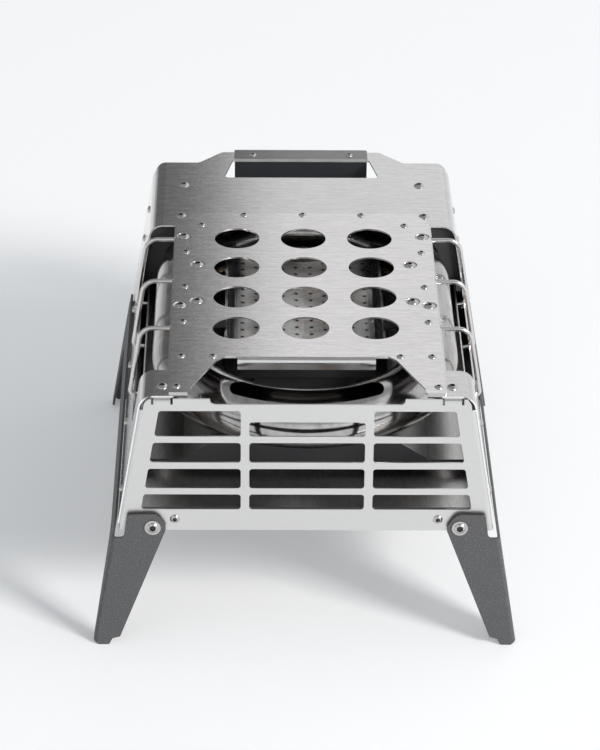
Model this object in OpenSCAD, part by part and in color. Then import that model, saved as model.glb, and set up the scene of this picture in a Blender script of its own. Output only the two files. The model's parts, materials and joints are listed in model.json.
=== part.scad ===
// Portable propane fire pit on two folding leg frames.
// Millimetres. X is across, Y runs from the front grille to the handle, Z is up.
// The origin is on the ground, under the middle of the footprint.
// Lengths named _d are measured back from the grille's front face.

/* [Shell] */
// Height of the shell's top face
shell_top = 240.2; // [225:0.1:260]
// Half width of the shell where the top and wall planes meet
top_half = 139; // [135:0.5:150]
// Lean of the side walls from vertical, in degrees
wall_angle = 9.5; // [8:0.1:10]
// Outer radius of the two shoulders
shoulder_r = 13; // [8:0.5:14]
// Thickness of the shell's sheet
shell_t = 1.5; // [1:0.1:2]
// Height of the walls' lower edge
wall_bottom = 117; // [116:0.5:118]
// Length of the side walls behind the rear plate
wall_past = 25.5; // [19:0.5:34]
// Length of the shell's top behind the rear plate, beside the handle
top_past = 34.5; // [32:0.5:39]
// Front end of the shell
shell_front_d = 3.6; // [1.8:0.1:4]
// Front end of the side windows
side_window_front_d = 48.5; // [45:0.5:60]
// Distance from the side windows' rear end to the rear face
side_window_rear = 101.5; // [99:0.5:116]
// Half width from the middle to the side windows' inner edge
side_window_x = 117; // [116:0.5:120]
// Depth of the side windows' lower edge below the shell's top
side_window_drop = 54.2; // [40:0.1:58]

/* [Handle] */
// Half width of the hand opening at its front edge
hand_front_half = 73; // [70:0.5:80]
// Distance from the rear plate to the hand opening
hand_start = 1.5; // [1:0.5:9]
// Length of the hand opening from front to back
hand_length = 38.5; // [36:0.5:42]
// Half width of the hand opening at its rear edge
hand_rear_half = 65; // [64.5:0.5:68]
// Half length of the grip and of its cover strip
grip_half = 63.5; // [60:0.5:64]
// Depth of the handle from front to back
grip_depth = 20.5; // [18:0.5:22]
// Height of the grip below the shell's top
grip_height = 27; // [20:0.5:30]
// Radius of the grip's lower edges
grip_r = 8; // [5:0.5:8.5]

/* [Top panel] */
// Thickness of the panel and of the handle's cover strip
panel_t = 1.5; // [1:0.1:2]
// Half width of the panel
panel_half = 115.5; // [115.5:0.1:116.5]
// Distance from the panel's rear edge to the rear face
panel_rear = 78.5; // [75:0.1:79]
// Front edge of the panel's two arms
panel_front_d = 7.2; // [6:0.1:8]
// Radius of the round flame holes
flame_hole_r = 20.3; // [15:0.1:21]
// Pitch of the flame holes across
flame_pitch_x = 60; // [50:0.5:62]
// Pitch of the flame holes along
flame_pitch_y = 57.74; // [50:0.1:59]
// First row of flame holes
flame_first_d = 121.9; // [120:0.1:125]
// Half width of the rolled lip behind the lighting cut-out
lip_half = 58.5; // [50:0.5:60]
// Outer radius of the rolled lip
lip_r = 5; // [4:0.5:6]
// Depth of the lip below the panel's top
lip_drop = 10.5; // [9:0.5:12]

/* [Grille] */
// Thickness of the grille and of the rear plate
grille_t = 1.5; // [1:0.1:2]
// Height of the lower edge of the grille and rear plate
grille_bottom = 112.7; // [112:0.1:114]
// Depth of the grille's two ears below the shell's top
ear_drop = 1; // [0.8:0.1:2.2]
// Depth of the grille's middle below the shell's top
bar_drop = 6.2; // [5.2:0.1:9.2]
// Half width to the ears' inner end
ear_x = 83; // [80:0.5:90]
// Half width of the middle windows
mid_window_half = 48.3; // [44:0.1:50]
// Width of the grille's upright bars
upright_w = 7.1; // [5:0.1:9]
// Width of the slanted margin outside the windows
window_margin = 17.5; // [17:0.1:20]
// Radius of the windows' corners
window_r = 2.7; // [1:0.1:3.5]
// Outer radius of the grille's folded edges
fold_r = 3; // [2.2:0.1:4]
// Depth of the grille's folded edges
grille_fold = 14; // [12:0.5:20]

/* [Legs] */
// Thickness of the leg frames' sheet
leg_t = 2; // [1.5:0.1:2]
// Half width between the leg pivots
pivot_x = 129.6; // [129.5:0.1:130]
// Height of the leg pivots
pivot_z = 117.9; // [117.8:0.1:118.2]
// Gap between the leg frames and the end plates
leg_stand_off = 2.4; // [2.4:0.1:3]
// Gap between the leg frames and the side walls
leg_wall_gap = 0.8; // [0.8:0.05:1]
// Height of the lower edge of the rail between two legs
rail_bottom = 87; // [80:0.5:95]
// Height of the rail's upper edge
rail_top = 122; // [120:0.1:122.2]
// Depth of the rail at the foot
foot_depth = 13; // [10:0.5:20]
// Depth of the leg where it meets the rail
knee_depth = 46; // [40:0.5:60]

/* [Burner] */
// Radius of the radiant tube
tube_r = 25.4; // [22:0.1:25.6]
// Wall of the radiant tube
tube_wall = 1.5; // [1:0.1:2]
// Radius of the tube's two bends, at its centre line
bend_r = 108; // [107:0.1:109]
// Depth of the tube's centre line below the shell's top
tube_drop = 38.5; // [37.2:0.1:39.2]
// Centre of the tube's front bend
bend_front_d = 142.5; // [141:0.5:145]
// Distance from the centre of the tube's rear bend to the rear face
bend_rear = 143.5; // [141:0.5:151]
// Half angle of the flame slot in the front bend
slot_half_angle = 30; // [20:1:35]
// Width of the flame slot
slot_w = 17; // [12:0.5:19]
// Half width of the flame bed between its side walls
bed_half = 69; // [66:0.5:70]
// Depth of the bed's crease below the shell's top
bed_drop = 37.2; // [35.2:0.1:38.2]
// Slope of the bed's two sides
bed_slope = 5; // [4:0.5:8]
// Height of the bed's sides above its floor
bed_wall = 9.2; // [8.8:0.1:10.4]
// Front end of the bed
bed_front_d = 110; // [108:0.5:115]
// Distance from the bed's rear end to the rear face
bed_rear = 101; // [100:0.5:110]
// Radius of a port in the bed
port_r = 1.1; // [0.8:0.1:1.6]
// Pitch of the ports across
port_pitch_x = 12.07; // [11:0.01:13]
// Pitch of the ports along
port_pitch_y = 13; // [12:0.1:16]
// Half width of the gas box under the bed
box_half = 44; // [40:0.5:50]
// Thickness of the tray, pan, bed and gas box sheets
inner_t = 1.2; // [1:0.1:1.5]
// Height of the heat tray's flat wings
tray_z = 146.5; // [144:0.5:148]
// Half width from the middle to the tray's wings
tray_half = 105.5; // [100:0.5:108]
// Half width of the raised middle of the tray
tray_crest = 60; // [55:0.5:65]
// Front of the heat tray
tray_front_d = 62.5; // [60:0.5:66]
// Distance from the heat tray's rear end to the rear face
tray_rear = 42; // [40:0.5:51]
// Height of the bottom pan's floor
pan_z = 134.5; // [134:0.1:136]

/* [Guards] */
// Radius of the guard wires
wire_r = 2; // [1.5:0.1:2]
// Stand-off of a wire's centre from the wall
wire_stand_off = 2.4; // [2.3:0.1:4]
// Inner bend radius of the wires at their centre
wire_bend_r = 12; // [10:0.5:14]
// Depth of the wires' lower ends below the shell's top
wire_end_drop = 66.2; // [62:0.1:75]
// Radius of the hook at a wire's lower end, at its centre
wire_hook_r = 4; // [3:0.5:6]

/* [Gas train] */
// Rear face of the rear plate
rear_face_d = 426; // [425.9:0.1:428]
// Half distance between the two valves
valve_x = 30; // [26:0.5:36]
// Depth of the valves' centre below the radiant tube
valve_drop = 16.3; // [15.5:0.1:18.3]
// Radius of a knob
knob_r = 15; // [12:0.5:18]
// Length of a knob
knob_length = 18; // [14:0.5:20]
// Radius of a valve stem
stem_r = 3; // [2.5:0.1:3.5]
// Radius of the inlet's 5/8 inch thread
inlet_r = 7.94; // [6.5:0.01:9]
// Length of the inlet's thread
inlet_length = 16; // [12:0.5:20]
// Height of the gas inlet
inlet_z = 144.8; // [144.6:0.1:145]

/* [Fasteners] */
// Radius of a large button head
big_head_r = 5; // [4:0.1:5.5]
// Radius of a small button head
small_head_r = 3.6; // [3:0.1:4]
// Radius of a flanged pivot head
pivot_head_r = 6.85; // [6:0.05:7]
// Radius of a pivot screw's shank
pivot_shank_r = 3; // [2.5:0.1:3.2]
// Clearance of a screw in its hole
hole_gap = 0.3; // [0.2:0.05:0.4]
// Running clearance of a turning fit
run_gap = 0.05; // [0.02:0.01:0.1]

/* [Hidden] */
$fn = 64;

panel_top = shell_top + panel_t;
wall_tan = tan(wall_angle);
wall_cos = cos(wall_angle);
pivot_head_h = 3.3;
big_head_h = 2.7;
small_head_h = 2;
head_out = leg_stand_off + leg_t + run_gap + pivot_head_h;
wall_end_d = rear_face_d + wall_past;
top_end_d = rear_face_d + top_past;
side_window_rear_d = rear_face_d - side_window_rear;
side_window_z = shell_top - side_window_drop;
hand_front_d = rear_face_d + hand_start;
hand_rear_d = hand_front_d + hand_length;
handle_end_d = hand_rear_d + grip_depth;
panel_rear_d = rear_face_d - panel_rear;
// The grille's front face, from the middle of the footprint
plate_y = -(handle_end_d - head_out) / 2;
shoulder_x = top_half + shoulder_r * wall_tan - shoulder_r / wall_cos;
shoulder_z = shell_top - shoulder_r;
shell_under = shell_top - shell_t;
end_plate_inset = shell_t + 0.2;
fold_inset = end_plate_inset;
leg_mid_d = rear_face_d / 2;
rear_inner_d = rear_face_d - grille_t;
ear_top = shell_top - ear_drop;
bar_top = shell_top - bar_drop;
tube_z = shell_top - tube_drop;
bend_rear_d = rear_face_d - bend_rear;
bed_z = shell_top - bed_drop;
bed_edge_z = bed_z + bed_half * tan(bed_slope);
bed_rim_z = bed_edge_z + bed_wall;
bed_rear_d = rear_face_d - bed_rear;
box_rear_d = bed_rear_d - 1.5;
tray_rear_d = rear_face_d - tray_rear;
tray_rim_z = tube_z - 23.7;
wire_end_z = shell_top - wire_end_drop;
valve_z = tube_z - tube_r - valve_drop;
valve_front_d = rear_inner_d - 34.5;
injector_d = valve_front_d + 6;
manifold_d = valve_front_d + 14;
hanger_front_d = bend_rear_d + 47.5;
hanger_low = pan_z + 5.5;
// Height below the shell's top of each row of windows, lower and upper edge
window_rows = [[36.5, 12.2], [61.5, 42.6], [86.5, 67.7], [107, 92.5]];
mid_window_drop = 22.7;
// Large screws in the shell, as half width and distance
tab_screw = [120.7, 20];
hanger_screw = [111.6, hanger_front_d + 13.8];
rear_screw = [110.3, rear_face_d - 15.5];
// Small screws along one half of the panel
panel_spots = [[109.1, 17.4], [79.5, 70.2], [106.3, 70.3], [106.2, 132.8], [105.7, 198.9],
    [105.9, panel_rear_d - 80.7], [92.6, panel_rear_d - 25.5], [53.8, panel_rear_d - 4]];
panel_mid_spot = [0, panel_rear_d - 3.5];
wire_spots = [127.5, 216.5, side_window_rear_d - 25];
bar_spots = [[108.4, 164.1], [108, wire_spots[2]]];
bracket_spots = [[94, 172.1], [94.5, 242.9]];
// Screws on a side wall, as distance and height
pan_spot_z = wall_bottom + 10;
hanger_spot_d = hanger_front_d + 8;
rear_spot_d = rear_face_d - 16;
side_spots = [[45, pan_spot_z], [160, pan_spot_z], [265, pan_spot_z], [rear_face_d - 51, pan_spot_z],
    [hanger_spot_d, hanger_low + 10], [hanger_spot_d, shell_top - 62.2], [hanger_spot_d, shell_top - 33.2],
    [rear_spot_d, shell_top - 55.2], [rear_spot_d, shell_top - 25.2]];
plate_screw_spot = [111, 123.6];
handle_screw_x = 46;
handle_screw_d = hand_rear_d + 9;
shank_r = 1.9;
washer_r = 5.6;
panel_hole_r = 6.8;

function wall_x(z) = top_half + (shell_top - z) * wall_tan;
function unit(v) = v / norm(v);
function turn(a) = a > 180 ? a - 360 : a < -180 ? a + 360 : a;
function corner(a, b, c, r) = r == 0 ? [b] :
    let (u = unit(a - b), v = unit(c - b), half = acos(u * v) / 2,
        mid = b + unit(u + v) * r / sin(half), p = b + u * r / tan(half) - mid,
        q = b + v * r / tan(half) - mid, start = atan2(p.y, p.x),
        sweep = turn(atan2(q.y, q.x) - start), steps = max(3, ceil(abs(sweep) / 15)))
    [for (i = [0:steps]) mid + r * [cos(start + sweep * i / steps), sin(start + sweep * i / steps)]];
// An outline whose points are [x, y, corner radius]
function rounded(points) = let (n = len(points))
    [for (i = [0:n - 1]) each corner([points[(i + n - 1) % n].x, points[(i + n - 1) % n].y],
        [points[i].x, points[i].y], [points[(i + 1) % n].x, points[(i + 1) % n].y], points[i].z)];
// The same outline on both sides of the middle, given from its right half
function both(points) = concat(points, [for (i = [len(points) - 1:-1:0])
    [-points[i].x, points[i].y, points[i].z]]);

// Extrudes an outline in x and z from one distance to another
module along(from, to) {
    translate([0, plate_y + to, 0]) rotate([90, 0, 0]) linear_extrude(to - from) children();
}

// Extrudes an outline in x and distance from one height to another
module plan(low, high) {
    translate([0, plate_y, low]) linear_extrude(high - low) children();
}

// Extrudes an outline in distance and z across x, on the right
module across(from, to) {
    translate([from, plate_y, 0]) rotate([90, 0, 90]) linear_extrude(to - from) children();
}

module sides() {
    children();
    mirror([1, 0, 0]) children();
}

module ends() {
    children();
    translate([0, 2 * (plate_y + leg_mid_d), 0]) mirror([0, 1, 0]) children();
}

// Stands its children on the right wall, with Z along the wall's normal
module on_wall(d, z) {
    translate([wall_x(z), plate_y + d, z]) rotate([0, 90 - wall_angle, 0]) children();
}

module slot_2d(length, w) {
    square([length - w, w], center = true);
    for (side = [-1, 1]) translate([side * (length - w) / 2, 0]) circle(d = w);
}

// The tunnel that the shell encloses, inset from its outer face
module tunnel_2d(inset, low) {
    r = shoulder_r - inset;
    half = [[wall_x(low) - inset / wall_cos, low],
        [shoulder_x + r * wall_cos, shoulder_z + r * sin(wall_angle)], [shoulder_x, shell_top - inset]];
    polygon([each half, for (i = [2:-1:0]) [-half[i].x, half[i].y]]);
    for (side = [-1, 1]) translate([side * shoulder_x, shoulder_z]) circle(r);
}

// A socket head screw: its seat is at z = 0 and its head points up
module screw(head_r, head_h, shank, length, socket) {
    difference() {
        union() {
            intersection() {
                cylinder(r = head_r, h = head_h);
                dome = (head_r * head_r + head_h * head_h) / (2 * head_h);
                translate([0, 0, head_h - dome]) sphere(dome);
            }
            translate([0, 0, -length]) cylinder(r = shank, h = length + head_h / 2);
        }
        translate([0, 0, head_h * 0.35]) cylinder(r = socket, h = head_h, $fn = 6);
    }
}

module small_screw(length) {
    screw(small_head_r, small_head_h, shank_r - hole_gap, length, 1.5);
}

module big_screw(length) {
    screw(big_head_r, big_head_h, shank_r, length, 2);
}

module hex_nut(flats, height, bore) {
    difference() {
        cylinder(r = flats / 2 / cos(30), h = height, $fn = 6);
        translate([0, 0, -1]) cylinder(r = bore, h = height + 2);
    }
}

// Holes through the top sheets
module top_holes(spots, r) {
    for (spot = spots) {
        sides() translate([spot.x, plate_y + spot.y, shell_top - 10]) cylinder(r = r, h = 20);
    }
}

module wall_holes() {
    for (spot = side_spots) on_wall(spot.x, spot.y) translate([0, 0, -6]) cylinder(r = shank_r, h = 12);
}

function front_cut(spread) = [[98 + spread, -5, 0], [98 + spread, 14.5, 3], [76 + spread, 64, 6],
    [69 + spread, 71 + spread, 2]];

module shell_top_2d() {
    difference() {
        polygon(rounded(both([[200, shell_front_d, 0], [200, wall_end_d, 0], [137.5, wall_end_d, 0],
            [137, top_end_d, 8], [97, top_end_d, 6], [75, handle_end_d - 2, 6]])));
        polygon(rounded(both(front_cut(1.5))));
        polygon(rounded(both([[85, 84, 4], [85, panel_rear_d - 29, 4]])));
        polygon(rounded(both([[hand_front_half, hand_front_d, 4], [hand_rear_half, hand_rear_d, 3]])));
    }
}

module side_window_cut() {
    across(side_window_x, 220) polygon(rounded([[side_window_front_d, side_window_z, 10],
        [side_window_rear_d, side_window_z, 10], [side_window_rear_d, 300, 0],
        [side_window_front_d, 300, 0]]));
}

module shell() {
    color([0.72, 0.71, 0.7])
    difference() {
        intersection() {
            along(0, handle_end_d) difference() {
                tunnel_2d(0, wall_bottom);
                tunnel_2d(shell_t, wall_bottom - 1);
            }
            plan(wall_bottom - 1, shell_top + 1) shell_top_2d();
        }
        sides() {
            side_window_cut();
            wall_holes();
            for (d = wire_spots) {
                translate([102, plate_y + d - wire_r - hole_gap, shell_top - 5])
                    cube([30, 2 * (wire_r + hole_gap), 10]);
                on_wall(d, wire_end_z) translate([0, 0, -6]) cylinder(r = wire_r + hole_gap, h = 12);
            }
        }
        top_holes([tab_screw, hanger_screw, rear_screw], shank_r + hole_gap);
        top_holes(panel_spots, shank_r);
        top_holes([panel_mid_spot], shank_r);
        top_holes(concat(bar_spots, bracket_spots), shank_r + hole_gap);
        top_holes([[handle_screw_x, handle_screw_d]], shank_r);
    }
}

module top_panel() {
    last_row = floor((panel_rear_d - flame_first_d - flame_hole_r - 12) / flame_pitch_y);
    color([0.76, 0.74, 0.73]) {
        difference() {
            plan(shell_top, panel_top) difference() {
                polygon(rounded(both([[98.5, panel_front_d, 0], [panel_half, panel_front_d, 1],
                    [panel_half, panel_rear_d - 19.7, 2], [panel_half - 12.6, panel_rear_d, 2]])));
                polygon(rounded(both(front_cut(0))));
                for (column = [-1:1], row = [0:last_row]) {
                    translate([column * flame_pitch_x, flame_first_d + row * flame_pitch_y])
                        circle(flame_hole_r);
                }
            }
            top_holes(panel_spots, shank_r);
            top_holes([panel_mid_spot], shank_r);
            top_holes(concat(bar_spots, bracket_spots), panel_hole_r);
        }
        lip_d = 71;
        across(-lip_half, lip_half) {
            intersection() {
                translate([lip_d, panel_top - lip_r]) difference() {
                    circle(lip_r);
                    circle(lip_r - panel_t);
                }
                translate([lip_d - lip_r, panel_top - lip_r]) square(lip_r);
            }
            translate([lip_d - lip_r, panel_top - lip_drop]) square([panel_t, lip_drop - lip_r]);
        }
    }
}

function end_x(z) = wall_x(z) - fold_inset / wall_cos;

// A channel that opens towards the middle: two faces across Y and a side beside the right wall
module channel_2d(front, back, inset, r) {
    for (d = [front + r, back - r]) translate([-r, d]) circle(r - inset);
    translate([-r, front + r]) square([r - inset, back - front - 2 * r]);
    translate([-180, front + inset]) square([180 - r, back - front - 2 * inset]);
}

module channel(foot_x, front, back, t, r) {
    translate([foot_x, plate_y, 0]) rotate([0, -wall_angle, 0]) translate([0, 0, -5])
        linear_extrude(290) difference() {
        channel_2d(front, back, 0, r);
        channel_2d(front, back, t, r);
    }
}

// The face and folded edges of an end plate that faces the front
module bent_plate(depth, top, top_r) {
    intersection() {
        sides() channel(end_x(0), 0, 300, grille_t, fold_r);
        union() {
            along(-1, fold_r + 0.5) end_outline(top, top_r);
            along(fold_r + 0.5, depth) polygon(both_2d(0, grille_bottom + 1, shoulder_z));
        }
    }
}

// The face outline of an end plate, past its folds at the sides
module end_outline(top, top_r) {
    past = 1;
    polygon(rounded(both([[end_x(grille_bottom) + past, grille_bottom, 0],
        [end_x(shoulder_z) + past, shoulder_z, 0], [end_x(shoulder_z) - fold_r, shoulder_z + 2, 0],
        [end_x(shoulder_z) - fold_r - 1, top, top_r]])));
}

module plate_holes() {
    for (side = [-1, 1]) {
        translate([side * pivot_x, pivot_z]) circle(pivot_shank_r + hole_gap);
        translate([side * plate_screw_spot.x, plate_screw_spot.y]) circle(shank_r + hole_gap);
    }
}

module window_2d(row, side) {
    low = shell_top - window_rows[row][0];
    high = shell_top - window_rows[row][1];
    inner = mid_window_half + upright_w;
    polygon(rounded([[side * inner, low, window_r], [side * (wall_x(low) - window_margin), low, window_r],
        [side * (wall_x(high) - window_margin), high, window_r], [side * inner, high, window_r]]));
}

module front_grille() {
    color([0.86, 0.86, 0.85]) {
        difference() {
            bent_plate(grille_fold, ear_top, 8);
            along(-1, 2) {
            polygon(rounded(both([[ear_x, 260, 0], [ear_x - 2.5, bar_top, 4]])));
            for (row = [0:3], side = [-1, 1]) window_2d(row, side);
            for (row = [0:3]) {
                low = shell_top - window_rows[row][0];
                high = shell_top - (row == 0 ? mid_window_drop : window_rows[row][1]);
                polygon(rounded(both([[mid_window_half, low, window_r],
                    [mid_window_half, high, window_r]])));
            }
            for (side = [-1, 1]) {
                translate([side * tab_screw.x, 0]) for (edge = [-1, 1])
                    translate([edge * 8 - 1, shell_under - 4.6]) square([2, 10]);
                translate([side * tab_screw.x - 7.6, shell_under - fold_r]) square([15.2, 10]);
            }
            plate_holes();
            }
        }
        sides() {
            difference() {
                across(tab_screw.x - 7, tab_screw.x + 7) {
                    intersection() {
                        translate([fold_r, shell_under - fold_r]) difference() {
                            circle(fold_r);
                            circle(fold_r - grille_t);
                        }
                        translate([0, shell_under - fold_r]) square(fold_r);
                    }
                    translate([fold_r, shell_under - grille_t]) square([26 - fold_r, grille_t]);
                }
                translate([tab_screw.x, plate_y + tab_screw.y, shell_under - 5])
                    cylinder(r = shank_r + hole_gap, h = 6);
            }
        }
    }
}

module rear_plate() {
    vent_low = shell_top - 54.2;
    flange_d = rear_face_d - 24;
    color([0.7, 0.7, 0.69]) {
        difference() {
            translate([0, 2 * plate_y + rear_face_d, 0]) mirror([0, 1, 0])
                bent_plate(25, shell_under - fold_r, 0);
            along(rear_inner_d - 1, rear_face_d + 1) {
                for (side = [-1, 1]) translate([side * valve_x, valve_z]) circle(6.3);
                translate([0, inlet_z]) circle(7.3);
                for (row = [0:3], column = [-3:3]) {
                    translate([column * 30, vent_low + row * 11]) slot_2d(22, 5);
                }
                plate_holes();
            }
            sides() wall_holes();
        }
        difference() {
            across(-118, 118) {
                intersection() {
                    translate([rear_face_d - fold_r, shell_under - fold_r]) difference() {
                        circle(fold_r);
                        circle(fold_r - grille_t);
                    }
                    translate([rear_face_d - fold_r, shell_under - fold_r]) square(fold_r);
                }
                translate([flange_d, shell_under - grille_t])
                    square([rear_face_d - fold_r - flange_d, grille_t]);
            }
            top_holes([rear_screw], shank_r + hole_gap);
        }
    }
}

module bottom_pan() {
    inset = end_plate_inset;
    low = 118;
    color([0.7, 0.7, 0.7])
    difference() {
        union() {
            intersection() {
                along(grille_t, rear_inner_d) difference() {
                    polygon(both_2d(inset / wall_cos, low, pan_z));
                    polygon(both_2d((inset + inner_t) / wall_cos, low - 1, pan_z - inner_t));
                }
                plan(low - 1, pan_z + 1) union() {
                    translate([-200, grille_fold + 0.5]) square([400, rear_face_d - 25.5 - grille_fold - 0.5]);
                    translate([-148, 0]) square([296, rear_face_d]);
                }
            }
            for (d = [grille_t, rear_inner_d - inner_t]) {
                along(d, d + inner_t) translate([-118, low]) square([236, pan_z - low]);
            }
        }
        sides() wall_holes();
        along(-1, rear_face_d + 1) for (side = [-1, 1])
            translate([side * plate_screw_spot.x, plate_screw_spot.y]) circle(shank_r + hole_gap);
        plan(pan_z - 5, pan_z + 5) for (row = [0:5], side = [-1, 1])
            translate([side * 122, leg_mid_d - 123 + row * 48]) rotate(90) slot_2d(30, 6);
    }
}

// The pan's section, inset from the walls' outer face
function both_2d(inset, low, high) = [[wall_x(low) - inset, low], [wall_x(high) - inset, high],
    [-wall_x(high) + inset, high], [-wall_x(low) + inset, low]];

// A sheet whose middle slopes up to the tube from two flat wings, which end in a rim along the walls
module heat_tray() {
    rim_gap = 9;
    fold_depth = 4.5;
    tie_length = 30;
    rim = wall_x(tray_rim_z) - rim_gap;
    wing = wall_x(tray_z) - rim_gap;
    crest = [tray_crest, tube_z - tube_r - hole_gap];
    under = tray_z - inner_t;
    slope_t = 1.2 * inner_t;
    color([0.66, 0.65, 0.64]) {
        along(tray_front_d, tray_rear_d) for (side = [-1, 1]) polygon([[side * crest.x, crest.y],
            [side * tray_half, tray_z], [side * wing, tray_z], [side * rim, tray_rim_z],
            [side * (rim + inner_t), tray_rim_z], [side * (wing + inner_t), under],
            [side * (tray_half - 0.4), under], [side * crest.x, crest.y - slope_t]]);
        along(tray_front_d - inner_t, tray_front_d) polygon([[wing, tray_z - fold_depth], [wing, tray_z],
            [tray_half, tray_z], crest, [-crest.x, crest.y], [-tray_half, tray_z], [-wing, tray_z],
            [-wing, tray_z - fold_depth]]);
        along(tray_rear_d - tie_length, tray_rear_d)
            translate([-tray_half, under]) square([2 * tray_half, inner_t]);
    }
}

module tray_spacers() {
    spacer_x = tray_half + 6.5;
    color([0.6, 0.6, 0.6]) sides() for (d = [tray_front_d + 32.5, tray_rear_d - 19])
        translate([spacer_x, plate_y + d, pan_z]) cylinder(r = 5, h = tray_z - inner_t - pan_z);
}

// The radiant tube's solid, swelled or shrunk from its outer face
module tube_solid(grow) {
    r = tube_r + grow;
    for (bend = [[bend_front_d, 180], [bend_rear_d, 0]]) {
        translate([0, plate_y + bend.x, tube_z]) rotate(bend.y) rotate_extrude(angle = 180)
            translate([bend_r, 0]) circle(r);
    }
    sides() translate([bend_r, plate_y + bend_rear_d, tube_z]) rotate([90, 0, 0])
        cylinder(r = r, h = bend_rear_d - bend_front_d);
}

module burner_tube() {
    slot_r = bend_r + 5;
    color([0.7, 0.66, 0.62])
    difference() {
        tube_solid(0);
        tube_solid(-tube_wall);
        translate([0, plate_y + bend_front_d, tube_z]) {
            rotate(270 - slot_half_angle) rotate_extrude(angle = 2 * slot_half_angle)
                translate([slot_r - slot_w / 2, 0]) square([slot_w, tube_r + 5]);
            for (side = [-1, 1]) rotate(side * slot_half_angle) translate([0, -slot_r, 0])
                cylinder(r = slot_w / 2, h = tube_r + 5);
        }
        translate([-valve_x, plate_y + injector_d, tube_z - tube_r - 5]) cylinder(r = 5.5, h = 25);
    }
}

// A plate across the tunnel beside the tube, with a flange on the wall and one under the top
module tube_hanger() {
    hang_angle = asin((hanger_front_d - bend_rear_d) / bend_r);
    inset = shell_t + 0.3;
    flange_top = shell_top - 25.2;
    depth = 18;
    behind = hanger_front_d + inner_t;
    color([0.3, 0.3, 0.31])
    difference() {
        union() {
            difference() {
                intersection() {
                    along(hanger_front_d, hanger_front_d + depth) tunnel_2d(inset, hanger_low);
                    translate([84, plate_y, hanger_low]) cube([100, wall_end_d, 110]);
                }
                along(behind, behind + depth) tunnel_2d(inset + inner_t, hanger_low - 1);
                translate([80, plate_y + behind, flange_top]) cube([100, depth, 50]);
                along(hanger_front_d - 1, behind + 1) intersection() {
                    tunnel_2d(inset + inner_t, hanger_low - 1);
                    translate([-300, 0]) square([600, tray_rim_z + 1]);
                }
            }
            translate([98, plate_y + hanger_front_d, shell_under - inner_t]) cube([27, 24, inner_t]);
        }
        translate([bend_r * cos(hang_angle), plate_y + hanger_front_d + inner_t / 2, tube_z])
            rotate([0, 0, hang_angle]) rotate([90, 0, 0])
            cylinder(r = tube_r + 1.2, h = 120, center = true);
        wall_holes();
        top_holes([hanger_screw], shank_r + hole_gap);
    }
}

module tube_hanger_left() {
    mirror([1, 0, 0]) tube_hanger();
}

module tube_hanger_right() {
    tube_hanger();
}

module flame_bed() {
    rows = floor((bed_rear_d - bed_front_d - 14) / port_pitch_y);
    lap = 0.2;
    curve_r = 9;
    half = [[bed_half + lap, bed_edge_z - inner_t, curve_r + inner_t], [bed_half + lap, bed_rim_z, 0],
        [bed_half - inner_t, bed_rim_z, 0], [bed_half - inner_t, bed_edge_z, curve_r]];
    other_half = [for (i = [3:-1:0]) [-half[i].x, half[i].y, half[i].z]];
    color([0.72, 0.7, 0.67])
    difference() {
        union() {
            along(bed_front_d, bed_rear_d) {
                polygon(rounded(concat([[0, bed_z - inner_t, 0]], half, [[0, bed_z, 0]], other_half)));
                for (side = [-1, 1]) translate([side * (bed_half + inner_t / 2), bed_z - 3])
                    translate([-inner_t / 2, 0]) square([inner_t, bed_rim_z - bed_z + 3]);
            }
            for (d = [bed_front_d, bed_rear_d - inner_t]) along(d, d + inner_t)
                translate([-bed_half, bed_z - 3]) square([2 * bed_half, bed_rim_z - bed_z + 3]);
        }
        for (column = [0:4], row = [0:rows]) {
            d = bed_front_d + 7 + (row + (column % 2) / 2) * port_pitch_y;
            if (d < bed_rear_d - 4) sides()
                translate([6.5 + column * port_pitch_x, plate_y + d, bed_z - 5])
                    cylinder(r = port_r, h = 20, $fn = 16);
        }
    }
}

module gas_box() {
    box_front_d = bed_front_d + 2;
    flange_z = bed_z - 3 - inner_t;
    color([0.28, 0.28, 0.29])
    difference() {
        union() {
            translate([-box_half, plate_y + box_front_d, tray_z])
                cube([2 * box_half, box_rear_d - box_front_d, flange_z - tray_z]);
            translate([-bed_half - inner_t, plate_y + bed_front_d, flange_z])
                cube([2 * (bed_half + inner_t), bed_rear_d - bed_front_d, inner_t]);
        }
        translate([-box_half + inner_t, plate_y + box_front_d + inner_t, tray_z + inner_t])
            cube([2 * (box_half - inner_t), box_rear_d - box_front_d - 2 * inner_t, 100]);
        translate([valve_x, plate_y + box_rear_d - 5, valve_z]) rotate([-90, 0, 0])
            cylinder(r = 6.8, h = 10);
    }
}

module bed_brackets() {
    drop_x = 82.5;
    color([0.4, 0.4, 0.41]) sides() for (spot = bracket_spots) difference() {
        along(spot.y - 7, spot.y + 7) {
            translate([drop_x, shell_under - inner_t]) square([spot.x + 6.5 - drop_x, inner_t]);
            translate([drop_x, bed_rim_z]) square([inner_t, shell_under - bed_rim_z]);
            translate([bed_half, bed_rim_z]) square([drop_x - bed_half, inner_t]);
        }
        top_holes([spot], shank_r + hole_gap);
    }
}

// A tube along Y with a bell mouth at its rear end
module bed_venturi() {
    mouth_d = valve_front_d - 4;
    throat_d = mouth_d - 10;
    color([0.75, 0.66, 0.45])
    translate([valve_x, plate_y, valve_z]) rotate([-90, 0, 0]) rotate_extrude() polygon([
        [6.8, box_rear_d], [8, box_rear_d], [8, throat_d], [10.5, mouth_d], [9.3, mouth_d],
        [6.8, throat_d - 1]]);
}

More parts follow.
